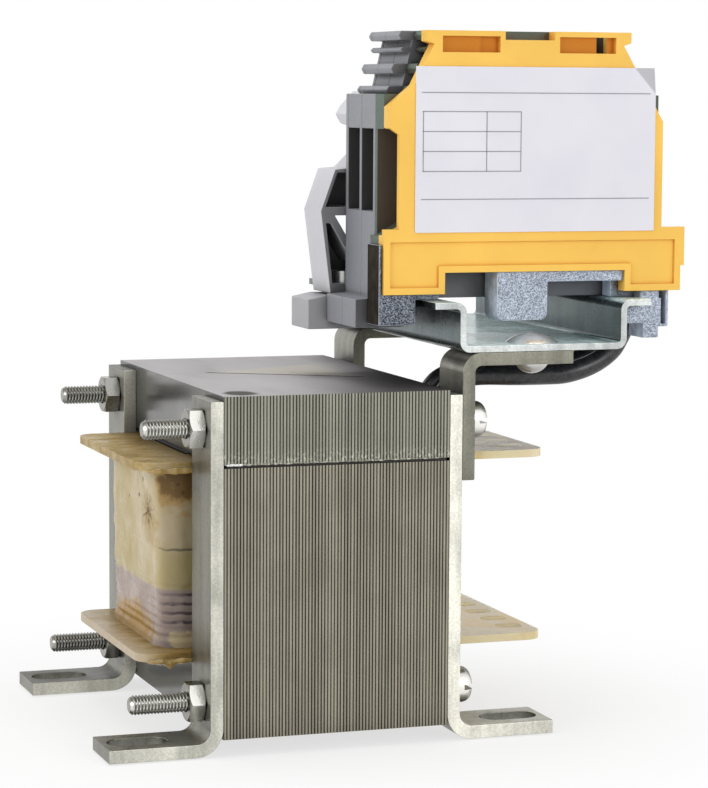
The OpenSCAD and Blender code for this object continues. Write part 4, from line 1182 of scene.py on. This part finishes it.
def skin_points(y, z):
    """Skin of varnish that fills one pin slot, round at both ends, and spreads on the board round it."""
    length, width = PIN_HALF
    points = []
    for rise, long_share, wide_share in SKIN_RINGS:
        for turn in turns(SKIN_SIDES, 0.5):
            along = math.copysign(length - width, math.cos(turn)) + width * math.cos(turn)
            across = width * math.sin(turn)
            points.append((PIN_X + long_share * along, y + wide_share * across, z + rise * FLANGE_T))
    return points


for index, bead in enumerate(BEADS):
    piece_from(f"varnish_bead_{index + 1}", bead_points(*bead), burr_faces, "varnish", ROUND_DEG)
skins = []
skin_faces = []
for z in FLANGE_ZS:
    for slot in range(-PINS_EACH_WAY, PINS_EACH_WAY + 1):
        skin_faces += rings_to_faces(len(SKIN_RINGS), SKIN_SIDES, len(skins))
        skins += skin_points(slot * PIN_PITCH, z)
piece_from("slot_skins", skins, skin_faces, "slot_varnish", SKIN_DEG)


# Stage: pale floor that fades to white away from the part, in metres
FLOOR_SIZE = 6.0
FLOOR_DROP = 0.0002
FLOOR_FADE = (0.03, 0.1)
FLOOR_WHITE = (0.7, 1.0)
floor_mesh = bpy.data.meshes.new("floor")
half = FLOOR_SIZE / 2
floor_corners = [(-half, -half, 0), (half, -half, 0), (half, half, 0), (-half, half, 0)]
floor_mesh.from_pydata(floor_corners, [], [(0, 1, 2, 3)])
floor = bpy.data.objects.new("floor", floor_mesh)
floor.location.z = -FLOOR_DROP
bpy.context.scene.collection.objects.link(floor)
floor_look = Look("floor")
length = floor_look.add("ShaderNodeVectorMath", operation="LENGTH")
floor_look.feed(length.inputs[0], floor_look.place)
rays = floor_look.add("ShaderNodeLightPath")
seen = floor_look.math("MAXIMUM", rays.outputs["Is Camera Ray"], rays.outputs["Is Glossy Ray"])
white = floor_look.add("ShaderNodeEmission")
white.inputs["Color"].default_value = (1.0, 1.0, 1.0, 1.0)
blend = floor_look.add("ShaderNodeMixShader")
fade = floor_look.span(length.outputs["Value"], *FLOOR_FADE, *FLOOR_WHITE)
floor_look.feed(blend.inputs[0], floor_look.times(fade, seen))
floor_look.set(Base_Color=(0.93, 0.93, 0.93), Roughness=0.9, Specular_IOR_Level=0.1)
floor_look.feed(blend.inputs[1], floor_look.shader.outputs[0])
floor_look.feed(blend.inputs[2], white.outputs[0])
floor_look.feed(floor_look.tree.nodes["Material Output"].inputs["Surface"], blend.outputs[0])
floor_mesh.materials.append(floor_look.material)

# World: white where it is seen or mirrored, softer where it lights
WORLD_LIGHT = 0.5
world = bpy.data.worlds.new("studio")
bpy.context.scene.world = world
world.use_nodes = True
tree = world.node_tree
background = tree.nodes["Background"]
rays = tree.nodes.new("ShaderNodeLightPath")
seen = rays.outputs["Is Camera Ray"]
for kind in ("Is Glossy Ray", "Is Transmission Ray"):
    either = tree.nodes.new("ShaderNodeMath")
    either.operation = "MAXIMUM"
    tree.links.new(seen, either.inputs[0])
    tree.links.new(rays.outputs[kind], either.inputs[1])
    seen = either.outputs[0]
level = tree.nodes.new("ShaderNodeMapRange")
tree.links.new(seen, level.inputs["Value"])
level.inputs["To Min"].default_value = WORLD_LIGHT
level.inputs["To Max"].default_value = 1.0
tree.links.new(level.outputs[0], background.inputs["Strength"])
background.inputs["Color"].default_value = (1.0, 1.0, 1.0, 1.0)


def area_light(name, place, target, size, power):
    """Soft box at a place, turned to a target, in metres and watts."""
    data = bpy.data.lights.new(name, "AREA")
    data.shape = "RECTANGLE"
    data.size, data.size_y = size
    data.energy = power
    lamp = bpy.data.objects.new(name, data)
    lamp.location = place
    lamp.rotation_euler = (Vector(target) - Vector(place)).to_track_quat("-Z", "Y").to_euler()
    bpy.context.scene.collection.objects.link(lamp)


MIDDLE = (0.01, 0.0, 0.05)
area_light("key", (-0.85, -0.3, 0.4), MIDDLE, (0.5, 0.5), 2.4)
area_light("fill", (0.45, -0.9, 0.35), MIDDLE, (0.4, 0.4), 2.5)
area_light("top", (0.0, 0.1, 0.9), MIDDLE, (0.6, 0.6), 3.0)

# Camera at the photo's viewpoint, in a frame of 708 by 788
AZIMUTH = 0.33287
ELEVATION = 0.10429
ROLL = -0.00597
FOCAL_PX = 2855.43
FRAME_PX = 788
SENSOR_MM = 36.0
CAMERA_AT = (-133.742, -423.617, 96.370)
flat_share = math.cos(ELEVATION)
back = Vector((-math.sin(AZIMUTH) * flat_share, -math.cos(AZIMUTH) * flat_share, math.sin(ELEVATION)))
right = Vector((math.cos(AZIMUTH), -math.sin(AZIMUTH), 0.0))
up = back.cross(right)
rolled_right = math.cos(ROLL) * right - math.sin(ROLL) * up
rolled_up = math.sin(ROLL) * right + math.cos(ROLL) * up
turned = Matrix((rolled_right, rolled_up, back)).transposed().to_4x4()
camera_data = bpy.data.cameras.new("camera")
camera_data.sensor_width = SENSOR_MM
camera_data.lens = FOCAL_PX * SENSOR_MM / FRAME_PX
camera = bpy.data.objects.new("camera", camera_data)
camera.matrix_world = Matrix.Translation(Vector(CAMERA_AT) * MM) @ turned
bpy.context.scene.collection.objects.link(camera)
bpy.context.scene.camera = camera
bpy.context.scene.view_settings.view_transform = "Standard"
